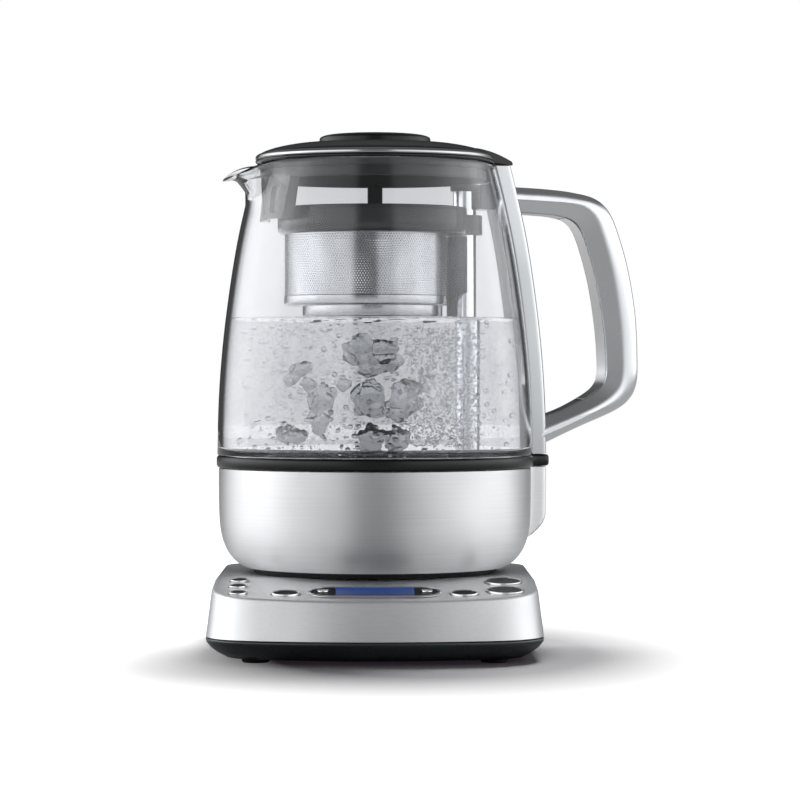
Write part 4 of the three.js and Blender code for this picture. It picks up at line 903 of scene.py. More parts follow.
def makeSkirt():
    foot, top = footOf("steel_skirt"), topOf("steel_skirt")
    half, wall = skirtSizes["bossHalf"], skirtSizes["wall"]
    levels = [foot + (top - foot) * share for share in skirtLevelShares]
    levels += between(foot + (top - foot) * 0.48, top - 0.6, 10)
    rings = [bossRing(skirtRadiusAt(z), bossAt(z), half, z) for z in levels]
    for inset, narrower, drop in ((0.15, 0, 0.15), (0.6, 0.4, 0)):
        rings.append(bossRing(skirtRadiusAt(top) - inset, bossAt(top), half - narrower, top - drop))
    for z in (top, (top + foot) / 2, foot + 6, foot + 2, foot):
        rings.append(bossRing(skirtRadiusAt(z) - wall, bossAt(z), half - wall, z))
    skirt = loft("steelSkirt", rings, loop=True, sharpAngle=50)
    seat(paint(skirt, steel), "jug", ["steel_skirt"])


bandSizes = {"radius": 80.3, "half": 11.6, "bore": 77.6, "edge": 1.3}
bandShares = [(1, 0), (0.4, 0.2), (0, 1)]  # inset and rise in shares of the edge


def makeBand():
    foot, top = footOf("seam_band"), topOf("seam_band")
    radius, boss, half, edge = bandSizes["radius"], skirtSizes["boss"], bandSizes["half"], bandSizes["edge"]
    profile = [(edge * inset, foot + edge * rise) for inset, rise in bandShares]
    profile += [(edge * inset, top - edge * rise) for inset, rise in reversed(bandShares)]
    rings = [bossRing(radius - inset, boss, half - inset, z) for inset, z in profile]
    rings += [bossRing(bandSizes["bore"], 0, half, z) for z in (top, foot)]
    band = loft("seamBand", rings, loop=True, sharpAngle=50)
    seat(paint(band, bandBlack), "jug", ["seam_band"])


# Glass: the wall bellies in towards the rim, which is drawn out into a spout
glassSizes = {
    "radius": 80,
    "wall": 2.6,
    "neck": 77.3,
    "spoutReach": 19.5,
    "spoutDrop": 10,
    "spoutFoot": 20.5,
    "spoutHalf": math.radians(34),
}
glassShares = [(0, 1), (0.19, 0.991), (0.37, 0.967), (0.55, 0.927), (0.72, 0.877), (0.865, 0.819), (1, 0.756)]
glassFoot = topOf("seam_band") + gap
rimZ = topOf("glass_jug")
glassLine = [(p.x, p.y) for p in curveThrough(glassShares, 6)]


def glassOuter(z):
    return glassSizes["radius"] * valueAt(glassLine, (z - glassFoot) / (rimZ - glassFoot))


def glassInner(z):
    return glassOuter(z) - glassSizes["wall"]


def pullSpout(point):
    x, y, z = point
    climb = min(max((z - rimZ + glassSizes["spoutFoot"]) / glassSizes["spoutFoot"], 0), 1)
    climb = climb * climb * (1.6 - 0.6 * climb)
    angle = math.atan2(y, x)
    away = abs(abs(angle) - math.pi) / glassSizes["spoutHalf"]
    share = math.cos(away * math.pi / 2) ** 2.2 * climb if away < 1 else 0
    radius = math.hypot(x, y) + glassSizes["spoutReach"] * share
    return (radius * math.cos(angle), radius * math.sin(angle), z - glassSizes["spoutDrop"] * share * share)


def makeGlass():
    sizes = glassSizes
    wall, neck = sizes["wall"], sizes["neck"]
    bottom = footOf("glass_jug")
    lip = wall / 2
    outside = [(glassOuter(z), z) for z in between(glassFoot + 3, rimZ - 8, 22)]
    outside += [(glassOuter(z), z) for z in between(rimZ - 7, rimZ - lip, 8)]
    top = arc(glassOuter(rimZ) - lip, rimZ - lip, lip, 0, math.pi, 9)[1:-1]
    inside = [(glassInner(z), z) for z in between(rimZ - lip, rimZ - 7, 8)]
    inside += [(glassInner(z), z) for z in between(rimZ - 8, glassFoot + 4, 22)]
    shoulder = [(glassInner(glassFoot), glassFoot + 2), (neck - wall, glassFoot - 1.5), (neck - wall, bottom)]
    foot = [(neck, bottom), (neck, glassFoot - 0.4), (neck + 1, glassFoot)]
    foot += [(glassOuter(glassFoot) - 0.3, glassFoot), (glassOuter(glassFoot), glassFoot + 0.6)]
    profile = foot + outside + top + inside + shoulder
    rings = [[pullSpout(p) for p in circle(r, z, 176)] for r, z in profile]
    glass = loft("glassJug", rings, loop=True, sharpAngle=60)
    seat(paint(glass, jugGlass), "jug", ["glass_jug"])


undersideSizes = {"bore": 21.2, "step": 2, "ridgeInner": 56, "ridgeOuter": 61, "ridgeEdge": 63}
socketSizes = {"bore": 18.3, "outer": 20.9, "flange": 24.4, "flangeHeight": 2.3, "roof": 4}


def makeUnderside():
    sizes = undersideSizes
    foot, top = footOf("jug_bottom_cover"), topOf("jug_bottom_cover")
    outer = skirtSizes["footRadius"] - skirtSizes["wall"] - gap
    step = top - sizes["step"]
    shape = [
        (sizes["bore"], top, 0),
        (sizes["bore"], step, 0.8),
        (sizes["ridgeInner"], step, 0.5),
        (sizes["ridgeInner"], foot, 0.6),
        (sizes["ridgeOuter"], foot, 0.8),
        (sizes["ridgeEdge"], step, 0.3),
        (outer, step, 0.3),
        (outer, top, 0),
    ]
    cover = turned("jugBottomCover", shape, 128)
    seat(paint(cover, bandBlack), "jug", ["jug_bottom_cover"])
    sizes = socketSizes
    low, high = footOf("power_socket"), topOf("power_socket")
    bore, outer, flangeTop = sizes["bore"], sizes["outer"], top + sizes["flangeHeight"]
    shape = [
        (bore, low, 0.5),
        (outer, low, 0.5),
        (outer, top + gap, 0),
        (sizes["flange"], top + gap, 0),
        (sizes["flange"], flangeTop, 0.5),
        (outer, flangeTop, 0),
        (outer, high, 1.5),
        (0, high, 0),
        (0, high - sizes["roof"], 0),
        (bore, high - sizes["roof"], 1),
    ]
    seat(paint(turned("powerSocket", shape), tubBlack), "jug", ["power_socket"])


# Column: the tube that hides the drive, and the head that holds its top to the rim
columnSizes = {
    "reach": 48.2,
    "radius": 6,
    "wall": 1,
    "armRadius": 7.3,
    "armHeight": 3.4,
    "blockReach": 54,
    "blockHalf": 9,
    "overlap": 2,
}


def makeColumn():
    sizes = columnSizes
    low, high = footOf("lift_column"), topOf("lift_column")
    outer, inner = sizes["radius"], sizes["radius"] - sizes["wall"]
    shape = [(inner, low, 0), (outer, low, 0.3), (outer, high, 0.3), (inner, high, 0.3)]
    column = turned("liftColumn", shape, 64, sizes["reach"], steps=3)
    seat(paint(column, columnSteel), "jug", ["lift_column"])


# A block from an inner face out to the glass, as wide as the column's head
def blockToGlass(name, near, levels):
    half = columnSizes["blockHalf"]
    rings = []
    for z in levels:
        wall = glassInner(z) - gap * 2
        back = [(math.sqrt(wall * wall - y * y), y, z) for y in between(-half, half, 9)]
        rings.append([(near, half, z), (near, -half, z), *back])
    return loft(name, rings)


def makeColumnHead():
    sizes = columnSizes
    low, high = footOf("column_head"), topOf("column_head")
    radius, join = sizes["armRadius"], sizes["blockReach"] + sizes["overlap"]
    plan = arc(sizes["reach"], 0, radius, math.pi / 2, math.pi * 1.5, 25) + [(join, -radius), (join, radius)]
    arm = softenEdges(prism("headArm", plan, high - sizes["armHeight"], high), 0.6)
    block = softenEdges(blockToGlass("headBlock", sizes["blockReach"], between(low, high, 7)), 0.7)
    head = joinPieces("columnHead", paint(arm, collarPlastic), paint(block, collarPlastic))
    seat(head, "jug", ["column_head"])


# Handle: a spine up the glass and a D-shaped grip with a strip let into its inner face
handleSizes = {
    "spineThickness": 9.5,
    "spineHalf": 10,
    "spineEdge": 3.2,
    "spineBack": 2.4,
    "depth": 51.2,
    "baseRise": 6.8,
    "height": 130.1,
    "half": 10,
    "outerCut": 6.5,
    "bendShare": 0.5,
    "insertHalf": 6,
    "insertDepth": 1.6,
    "insertGap": 0.35,
    "insertCheek": 0.7,
    "insertSunk": 0.1,
    "grooveShare": 1.15,
    "waistCut": 2,
    "innerCut": 1.2,
    "narrower": 0.3,
    "overrun": 3,
}
# The grip's side view: shares of its depth and height
gripOuterShares = [(-0.335, 1.0), (0, 0.994), (0.265, 0.984), (0.526, 0.961), (0.687, 0.91), (0.793, 0.818)]
gripOuterShares += [(0.898, 0.679), (0.976, 0.503), (1, 0.334), (0.992, 0.23), (0.918, 0.164)]
gripOuterShares += [(0.747, 0.1145), (0.3655, 0.0515), (-0.07, -0.025)]
gripInnerShares = [(-0.335, 0.897), (-0.04, 0.891), (0.13, 0.885), (0.275, 0.868), (0.371, 0.829)]
gripInnerShares += [(0.456, 0.745), (0.546, 0.614), (0.614, 0.449), (0.641, 0.3105), (0.6305, 0.245)]
gripInnerShares += [(0.562, 0.203), (0.4056, 0.163), (0.185, 0.1207), (-0.07, 0.087)]


def handleLine(shares):
    root = glassSizes["radius"] + gap + handleSizes["spineThickness"]
    foot = glassFoot + handleSizes["baseRise"]
    depth, height = handleSizes["depth"], handleSizes["height"]
    return curveThrough([(root + r * depth, foot + z * height) for r, z in shares], 7)


# A section between an outer and an inner point of the handle's side view: its inner half is drawn in
def gripSection(outer, inner, half):
    sizes = handleSizes
    deep = inner - outer
    length = deep.length
    bend = length * sizes["bendShare"]
    narrow = sizes["insertHalf"] + sizes["insertCheek"]
    outerCut, innerCut, waistCut = sizes["outerCut"], sizes["innerCut"], sizes["waistCut"]
    corners = [(0, -half, outerCut), (0, half, outerCut), (bend, half, waistCut)]
    corners += [(length, narrow, innerCut), (length, -narrow, innerCut), (bend, -half, waistCut)]
    line = []
    for along, across in rounded(corners, 6):
        spot = outer + deep * (along / length)
        line.append((spot.x, across, spot.y))
    return line


def makeSpine():
    sizes = handleSizes
    half, edge, thick = sizes["spineHalf"], sizes["spineEdge"], sizes["spineThickness"]
    rings = []
    for z in between(footOf("handle_spine"), topOf("handle_spine"), 30):
        wall = glassOuter(z) + gap
        out = wall + thick
        ends = math.sqrt(wall * wall - half * half)
        back = sizes["spineBack"]
        front = rounded([(ends, -half, back), (out, -half, edge), (out, half, edge), (ends, half, back)], 5)
        inside = [(math.sqrt(wall * wall - y * y), y) for y in between(half - 3, 3 - half, 9)]
        rings.append([(x, y, z) for x, y in front + inside])
    spine = loft("handleSpine", rings, sharpAngle=42)
    # The face against the glass is dark, and shows through it
    paint(spine, spineMetal).data.materials.append(linerGrey)
    for face in spine.data.polygons:
        if face.normal.x < -0.6:
            face.material_index = 1
    seat(spine, "jug", ["handle_spine"])


def makeGrip():
    sizes = handleSizes
    outer, inner = handleLine(gripOuterShares), handleLine(gripInnerShares)
    rings = []
    for number, (outside, inside) in enumerate(zip(outer, inner)):
        half = sizes["half"] - (sizes["narrower"] if number < 4 else 0)
        rings.append(gripSection(outside, inside, half))
    grip = loft("handleGrip", rings, sharpAngle=60)
    first, last = 18, len(inner) - 14
    wide = sizes["insertHalf"] + sizes["insertGap"]
    groove = insertSweep("groove", outer, inner, first - 1, last + 1, wide, True)
    combine(grip, "DIFFERENCE", groove)
    smoothMesh(grip.data, 45)
    seat(paint(grip, handleMetal), "jug", ["handle_grip"])
    strip = insertSweep("gripInsert", outer, inner, first, last, sizes["insertHalf"], False)
    softenEdges(strip, 0.3, segments=2)
    seat(paint(strip, insertMetal), "jug", ["grip_insert"])


# A flat strip sunk into the grip's inner face, or the cutter for its groove
def insertSweep(name, outer, inner, first, last, half, cutter):
    sizes = handleSizes
    start = -sizes["overrun"] if cutter else sizes["insertSunk"]
    depth = sizes["insertDepth"] * (sizes["grooveShare"] if cutter else 1)
    rings = []
    for i in range(first, last):
        inward = (outer[i] - inner[i]).normalized()
        outside = inner[i] + inward * start
        inside = inner[i] + inward * depth
        corners = ((outside, -half), (outside, half), (inside, half), (inside, -half))
        rings.append([(p.x, y, p.y) for p, y in corners])
    return loft(name, rings)


# Lid: a black dome with a steel trim, a knob, and the collar under it
lidSizes = {
    "radius": 60.6,
    "rim": 1.6,
    "trimHeight": 2.9,
    "trimDepth": 2.6,
    "dome": 10.2,
    "wall": 2.5,
    "skirt": 7,
    "tabReach": 70.8,
    "recess": 0.9,
    "recessDepth": 2.1,
    "bore": 7,
    "tabHalf": 9.6,
    "tabHeight": 3.2,
    "hood": 6.3,
    "knobRadius": 28.2,
    "knobSink": 1.8,
    "knobPeg": 5,
    "knobPegRadius": 6,
}
domeShares = [(0.957, 0.0), (0.94, 0.17), (0.85, 0.5), (0.72, 0.79), (0.6, 0.93), (0.48, 1)]
# Share of the knob's radius, and depth under its top as a share of its rise
knobShares = [(0.985, 0.26), (0.93, 0.14), (0.82, 0.06), (0.6, 0.015), (0.3, 0), (0, 0)]


# The lid's heights: its seat, the trim's foot and top, and the dome's top
def lidLevels():
    seatHeight = footOf("lid_cap")
    trimFoot = seatHeight + lidSizes["rim"]
    return seatHeight, trimFoot, trimFoot + lidSizes["trimHeight"], seatHeight + lidSizes["dome"]


def makeLidShell():
    sizes = lidSizes
    seatHeight, trimFoot, trimTop, domeTop = lidLevels()
    radius = sizes["radius"]
    dome = [(radius * p.x, trimTop + (domeTop - trimTop) * p.y) for p in curveThrough(domeShares, 5)]
    recess = sizes["knobRadius"] + sizes["recess"]
    hollow = radius - sizes["skirt"]
    groove = radius - sizes["trimDepth"]
    ceiling = domeTop - sizes["recessDepth"]
    profile = [(hollow, seatHeight), (radius - 0.5, seatHeight), (radius, seatHeight + 0.5)]
    profile += [(radius, trimFoot - 0.5), (radius - 0.4, trimFoot - 0.1), (groove, trimFoot - 0.1)]
    profile += [(groove, trimTop), *dome, (recess + 0.4, domeTop), (recess, domeTop - 0.4), (recess, ceiling)]
    profile += [(sizes["bore"], ceiling), (sizes["bore"], ceiling - sizes["wall"])]
    profile += [(recess, ceiling - sizes["wall"]), (hollow, trimTop - 1.2)]
    return turned("lidShell", profile, 128, sharpAngle=45)


# The tab over the handle's spine
def makeLidHood():
    sizes = lidSizes
    seatHeight, _, trimTop, domeTop = lidLevels()
    radius, reach = sizes["radius"], sizes["tabReach"]
    rootX, rootZ = radius * 0.8, trimTop + (domeTop - trimTop) * 0.7
    side = [
        (rootX, trimTop - 1.5, 0),
        (reach, seatHeight, 0.6),
        (reach, seatHeight + sizes["tabHeight"] * 0.55, 1.2),
        (radius + 4.5, seatHeight + sizes["hood"] * 0.74, 2.5),
        (radius - 1, seatHeight + sizes["hood"] * 1.08, 3),
        (rootX + 4, rootZ, 2.5),
        (rootX - 2, rootZ + 0.2, 0),
    ]
    outline = rounded(side, 4)
    hood = loft("lidHood", [[(x, y, z) for x, z in outline] for y in (-sizes["tabHalf"], sizes["tabHalf"])])
    return softenEdges(hood, 1.1, limit=50)


def makeLid():
    sizes = lidSizes
    _, trimFoot, trimTop, domeTop = lidLevels()
    radius, groove = sizes["radius"], sizes["radius"] - sizes["trimDepth"]
    lid = joinPieces("lidCap", *[paint(piece, lidBlack) for piece in (makeLidShell(), makeLidHood())])
    seat(lid, "lid", ["lid_cap"])

    shape = [(groove, trimFoot, 0), (radius, trimFoot, 0.7), (radius, trimTop - 1, 0.8)]
    shape += [(radius - 1.5, trimTop, 0.5), (groove, trimTop, 0)]
    trim = turned("lidTrim", shape, 160, steps=5)
    seat(paint(trim, trimChrome), "lid", ["lid_trim"])

    foot, top = domeTop - sizes["knobSink"], topOf("lid_knob")
    wide, peg = sizes["knobRadius"], sizes["knobPegRadius"]
    rise = top - foot
    crown = [(wide, foot + rise * 0.58)] + [(wide * share, top - rise * drop) for share, drop in knobShares]
    low = [(0, foot - sizes["knobPeg"]), (peg, foot - sizes["knobPeg"]), (peg, foot)]
    low += [(wide - 1, foot), (wide, foot + 0.6)]
    knob = turned("lidKnob", low + [tuple(p) for p in curveThrough(crown, 4)], 128, sharpAngle=45)
    seat(paint(knob, knobBlack), "lid", ["lid_knob"])


collarSizes = {
    "radius": 56.5,
    "wall": 2,
    "height": 9,
    "legDrop": 20,
    "legTop": 29,
    "legFoot": 24.8,
    "slotWidth": 8.5,
    "slotHeight": 13,
    "slotLean": 4.5,
    "slotReach": 12,
    "slotDrop": 4,
    "flange": 3.2,
    "slotCut": 1.2,
    "flare": 1.6,
}


# A point on an upright round wall: the arc length from -X and the height
def onWall(radius, along, z):
    a = math.pi - along / radius
    return (radius * math.cos(a), radius * math.sin(a), z)


# The collar's leg behind the spout, with two leaning slots
def makeCollarLeg(foot):
    sizes = collarSizes
    legFoot = foot - sizes["legDrop"]
    outer, inner = sizes["radius"], sizes["radius"] - sizes["wall"]
    rows = []
    for z in between(legFoot, foot + 0.5, 12):
        share = (z - legFoot) / (foot - legFoot)
        half = sizes["legFoot"] + (sizes["legTop"] - sizes["legFoot"]) * share
        bulge = sizes["flange"] * (1 - share * 0.35)
        spots = between(-half, half, 25)
        skin = [onWall(inner, s, z) for s in spots]
        back = [onWall(outer + bulge * (abs(s) / half) ** 3, s, z) for s in reversed(spots)]
        rows.append(skin + back)
    leg = loft("collarLeg", rows)
    slotTop = foot - sizes["slotDrop"]
    slotFoot = slotTop - sizes["slotHeight"]
    lean, wide = sizes["slotLean"] / 2, sizes["slotWidth"] / 2
    base = [(-wide - lean, slotFoot), (wide - lean, slotFoot)]
    base += [(wide + lean, slotTop), (-wide + lean, slotTop)]
    cutters = []
    for side in (1, -1):
        rings = []
        for radius, flare in ((inner - 4, 1), (inner, 1), (outer + 8, sizes["flare"])):
            corners = [(side * (sizes["slotReach"] + x * flare), z, sizes["slotCut"]) for x, z in base]
            rings.append([onWall(radius, s, z) for s, z in rounded(corners, 4)])
        cutters.append(loft("slot", rings))
    combine(leg, "DIFFERENCE", *cutters)
    return softenEdges(leg, 0.5, segments=2, limit=40)


def makeCollar():
    sizes = collarSizes
    top = topOf("lid_collar")
    foot = top - sizes["height"]
    outer, inner = sizes["radius"], sizes["radius"] - sizes["wall"]
    shape = [(inner, top, 0.3), (inner, foot, 0.6), (outer, foot, 0.6), (outer, top, 0.3)]
    hoop = turned("collarHoop", shape, 128, steps=3)
    lug = softenEdges(blockToGlass("collarLug", inner, (foot + 0.6, top - 0.6)), 0.5, segments=2)
    pieces = [paint(piece, collarPlastic) for piece in (hoop, makeCollarLeg(foot), lug)]
    seat(joinPieces("lidCollar", *pieces), "lid", ["lid_collar"])


hexRows = 0.866  # rows of staggered holes stand this share of the pitch apart


# A sheet full of round holes in staggered rows, laid on any surface by the place function
def perforated(name, length, height, sizes, place):
    pitch, hole = sizes["pitch"], sizes["hole"]
    columns = round(length / pitch)
    rows = max(1, round(height / (pitch * hexRows)))
    stepX, stepY = length / columns, height / rows
    rim = [(-0.5, -0.5), (0, -0.5), (0.5, -0.5), (0.5, 0.5), (0, 0.5), (-0.5, 0.5)]
    points, faces = [], []
    for row in range(rows):
        shift = 0.5 * (row % 2)
        for column in range(columns):
            middleX, middleY = (column + 0.5 + shift) * stepX, (row + 0.5) * stepY
            start = len(points)
            for x, y in rim:
                points.append(place(middleX + x * stepX, middleY + y * stepY))
            for x, y in rim:
                a = math.atan2(y * 1.2, x)
                points.append(place(middleX + hole / 2 * math.cos(a), middleY + hole / 2 * math.sin(a)))
            for i in range(6):
                j = (i + 1) % 6
                faces.append((start + i, start + j, start + 6 + j, start + 6 + i))
    return buildPiece(name, points, faces, 80)


filterSizes = {"radius": 54.2, "half": 21, "pitch": 1.5, "hole": 0.85, "sink": 0.3, "bar": 1, "barDepth": 0.6}


def makeFilter():
    sizes = filterSizes
    foot, top = footOf("spout_filter"), topOf("spout_filter")
    radius, half, near = sizes["radius"], sizes["half"], sizes["radius"] - sizes["barDepth"]

    def place(along, up):
        return onWall(radius - sizes["sink"], along - half - 0.4, foot + up)

    parts = [perforated("filterSheet", half * 2, top - foot, sizes, place)]
    for low, high in ((foot, foot + sizes["bar"]), (top - sizes["bar"], top)):
        corners = ((near, low), (radius, low), (radius, high), (near, high))
        rings = [[onWall(r, s, z) for r, z in corners] for s in between(-half, half, 30)]
        parts.append(loft("filterBar", rings))
    pieces = [paint(part, meshSteel) for part in parts]
    seat(joinPieces("spoutFilter", *pieces), "lid", ["spout_filter"])


# Tea basket: grey ring, perforated cup, stepped foot, and the slide that runs on the column
basketSizes = {
    "ringRadius": 48.1,
    "ringX": -1.4,
    "cupRadius": 41,
    "cupX": -4.9,
    "cupWall": 0.8,
    "cupLip": 1.5,
    "shelf": 2,
    "tierRadius": 35.5,
    "tierX": -1.3,
    "pitch": 1.4,
    "hole": 0.84,
    "polished": 5.2,
    "sleeve": 9.3,
    "sleeveHeight": 10.2,
    "sleeveDrop": 2.8,
    "sleeveRoot": 2.6,
    "bead": 0.35,
    "tierHeight": 5.7,
}
# The ring's and the cup's outsides: inset from the radius, and height
ringFootCurve = [(3.2, 0), (1.6, 0.35), (0.6, 1.3), (0.1, 3), (0, 5)]
ringTopCurve = [(0, -1.9), (0.35, -1.7), (0.35, -1.35), (0, -1.15), (0, -0.4), (0.4, 0)]
cupFootCurve = [(-0.35, 1.4), (-0.1, 0.6), (0.7, 0.1), (1.6, 0)]


def ringAt(centreX, radius, z):
    return circle(radius, z, 128, centreX)


def makeRing():
    sizes = basketSizes
    foot, top = footOf("basket_ring"), topOf("basket_ring")
    wide, x = sizes["ringRadius"], sizes["ringX"]
    bore, boreX = sizes["cupRadius"] + gap, sizes["cupX"]
    mouth, shelf = bore + sizes["cupLip"], foot + sizes["shelf"]
    rings = [ringAt(boreX, bore, foot)]
    rings += [ringAt(x, wide - inset, foot + z) for inset, z in ringFootCurve]
    rings += [ringAt(x, wide - inset, top + z) for inset, z in ringTopCurve]
    for radius, z in ((mouth + 0.3, top), (mouth, top - 0.4), (mouth, shelf), (bore, shelf)):
        rings.append(ringAt(boreX, radius, z))
    hoop = loft("ringHoop", rings, loop=True, sharpAngle=45)
    sleeveTop = top - sizes["sleeveDrop"]
    sleeveFoot = sleeveTop - sizes["sleeveHeight"]
    reach, sleeve = columnSizes["reach"], sizes["sleeve"]
    root = wide + x - sizes["sleeveRoot"]
    nose = arc(reach, 0, sleeve, -math.pi / 2, math.pi / 2, 21)[1:-1]
    plan = [(root, -sleeve), (reach, -sleeve), *nose, (reach, sleeve), (root, sleeve)]
    block = softenEdges(prism("ringSleeve", plan, sleeveFoot, sleeveTop), 0.7, limit=40)
    clear = columnSizes["radius"] + gap
    combine(block, "DIFFERENCE", rod("sleeveBore", clear, foot - 5, top + 5, 64, reach))
    smoothMesh(block.data, 40)
    ring = joinPieces("basketRing", paint(hoop, smokyGrey), paint(block, smokyGrey))
    seat(ring, "basket", ["basket_ring"])


def makeCup():
    sizes = basketSizes
    radius, x, wall, lip = sizes["cupRadius"], sizes["cupX"], sizes["cupWall"], sizes["cupLip"]
    tier, tierX, bead = sizes["tierRadius"], sizes["tierX"], sizes["bead"]
    tierFoot, lipTop = footOf("basket_cup"), topOf("basket_cup")
    lipFoot = lipTop - lip
    cupFoot = tierFoot + sizes["tierHeight"]
    meshFoot = cupFoot + sizes["polished"]
    meshTop = lipFoot - 1.4

    def place(along, up):
        a = along / radius
        return (x + radius * math.cos(a), radius * math.sin(a), meshFoot + up)

    sheet = perforated("cupMesh", 2 * math.pi * radius, meshTop - meshFoot, sizes, place)
    upper = [(radius, meshTop), (radius, lipFoot), (radius + lip, lipFoot), (radius + lip, lipTop - 0.3)]
    upper += [(radius + lip - 0.3, lipTop), (radius - wall, lipTop), (radius - wall, meshTop)]
    rimBand = turned("cupRim", upper, 128, x)
    rings = [ringAt(x, radius - wall, meshFoot), ringAt(x, radius, meshFoot)]
    rings.append(ringAt(x, radius + bead, meshFoot - 0.4))
    rings += [ringAt(x, radius - inset, cupFoot + z) for inset, z in cupFootCurve]
    floor, ledge = tierFoot + wall, cupFoot + wall
    tierRings = [(tier, cupFoot - 0.05), (tier, tierFoot + 1.2), (tier - 0.35, tierFoot + 0.35)]
    tierRings += [(tier - 1.2, tierFoot), (0.01, tierFoot), (0.01, floor), (tier - wall, floor)]
    tierRings.append((tier - wall, ledge))
    rings += [ringAt(tierX, r, z) for r, z in tierRings]
    rings.append(ringAt(x, radius - wall, ledge))
    base = loft("cupBase", rings, loop=True, sharpAngle=40)
    pieces = [paint(sheet, meshSteel), paint(rimBand, cupSteel), paint(base, cupSteel)]
    seat(joinPieces("basketCup", *pieces), "basket", ["basket_cup"])


footRingSizes = {"inset": 1, "width": 4, "rise": 1.1, "pads": 6, "pad": 2}


def makeBasketFoot():
    sizes = footRingSizes
    foot, top = footOf("basket_foot"), topOf("basket_foot")
    x, outer = basketSizes["tierX"], basketSizes["tierRadius"] - sizes["inset"]
    low, inner, pad = foot + sizes["rise"], outer - sizes["width"], sizes["pad"]
    shape = [(inner, low, 0.3), (outer, low, 0.5), (outer, top, 0.2), (inner, top, 0.2)]
    parts = [turned("footRing", shape, 128, x, steps=3)]
    for number in range(sizes["pads"]):
        a = number * math.tau / sizes["pads"] + jugAngle
        spot = (x + (outer - pad) * math.cos(a), (outer - pad) * math.sin(a))
        shape = [(0, foot, 0), (pad, foot, 0.6), (pad, top - 0.2, 0.3), (0, top - 0.2, 0)]
        parts.append(turned("footPad", shape, 32, *spot, steps=3))
    pieces = [paint(part, smokyGrey) for part in parts]
    seat(joinPieces("basketFoot", *pieces), "basket", ["basket_foot"])


bracketSizes = {"legLength": 10, "legTop": 3.6, "legFoot": 1.8, "setback": 1.8, "edge": 0.4}


# The slide: half a sleeve round the column that narrows to a leg
def makeBracket():
    sizes = bracketSizes
    foot, top = footOf("slide_bracket"), topOf("slide_bracket")
    reach = columnSizes["reach"]
    outer, inner = basketSizes["sleeve"], columnSizes["radius"] + gap
    wide = math.acos(sizes["setback"] / outer)
    shoulder = foot + sizes["legLength"]
    levels = [(foot, sizes["legFoot"]), (foot + 0.5, sizes["legFoot"] + 0.3)]
    levels += [(shoulder - 0.5, sizes["legTop"]), (shoulder + 1.5, outer * 0.72)]
    levels += [(shoulder + 4, None), (top - sizes["edge"], None), (top, None)]
    rings = []
    for z, half in levels:
        turn = wide if half is None else math.asin(min(half / outer, 0.99))
        shrink = sizes["edge"] if z in (foot, top) else 0
        plan = arc(reach, 0, outer - shrink, math.pi - turn, math.pi + turn, 21)
        plan += arc(reach, 0, inner + shrink, math.pi + turn, math.pi - turn, 21)
        rings.append([(x, y, z) for x, y in plan])
    bracket = loft("slideBracket", rings, sharpAngle=35)
    seat(paint(bracket, smokyGrey), "basket", ["slide_bracket"])


coverSizes = {"thick": 2, "skirt": 2.4, "rim": 5, "slope": 7, "boss": 8, "bossTop": 6.5, "dish": 0.5}
postSizes = {"peg": 2, "flange": 6.1, "flangeTop": 1.4, "post": 3.8, "postFoot": 2.3}


def makeCover():
    sizes = coverSizes
    foot, top = footOf("basket_cover"), topOf("basket_cover")
    outer = basketSizes["cupRadius"] + basketSizes["cupLip"]
    dish = top - sizes["dish"]
    shape = [
        (0, top - sizes["thick"], 0),
        (outer - sizes["skirt"], top - sizes["thick"], 0.6),
        (outer - sizes["skirt"], foot, 0.3),
        (outer, foot, 0.3),
        (outer, top, 0.8),
        (outer - sizes["rim"], top, 0.8),
        (outer - sizes["slope"], dish, 1),
        (sizes["boss"], dish, 0.8),
        (sizes["bossTop"], top, 0.6),
        (0, top, 0),
    ]
    cover = turned("basketCover", shape, 128, basketSizes["cupX"])
    seat(paint(cover, smokyGrey), "cover", ["basket_cover"])
    sizes = postSizes
    low, high = footOf("lifting_post"), topOf("lifting_post")
    shape = [
        (0, low, 0),
        (sizes["peg"], low, 0),
        (sizes["peg"], top + gap, 0),
        (sizes["flange"], top + gap, 0.4),
        (sizes["flange"], top + sizes["flangeTop"], 0.5),
        (sizes["post"], top + sizes["postFoot"], 1),
        (sizes["post"], high, 0.9),
        (0, high, 0),
    ]
    seat(paint(turned("liftingPost", shape, 64), postBlack), "cover", ["lifting_post"])


makeShell()
for buttonName in buttonSizes:
    makeButton(buttonName)
makeDisplay()
makeTub()
makeFeet()
makeTower()
makeGland()
print("base built")
makeSkirt()
makeBand()
makeGlass()
makeUnderside()
makeColumn()
makeColumnHead()
makeSpine()
makeGrip()
print("jug built")
makeLid()
makeCollar()
makeFilter()
print("lid built")
makeRing()
makeCup()
makeBasketFoot()
makeBracket()
makeCover()
print("basket built")

# Nodes whose own shape is right keep it and get a finish
keptNodes = {
    "glass_seal": silicone,
    "lid_seal": silicone,
    "column_foot_seal": rubber,
    "heating_plate": plateSteel,
    "heating_element": screwSteel,
    "temperature_probe": screwSteel,
    "lift_motor": magnetGrey,
    "lead_screw": screwSteel,
    "drive_magnet": magnetGrey,
    "drive_nut": brass,
    "follower_magnet": magnetGrey,
    "handle_screw_upper": screwSteel,
    "handle_screw_lower": screwSteel,
    "control_board": boardGreen,
    "power_board": boardGreen,
    **{f"base_screw_{i}": screwSteel for i in range(1, 5)},
}
for node, material in keptNodes.items():
    smoothMesh(paint(frame["nodes"][node], material).data, 35)

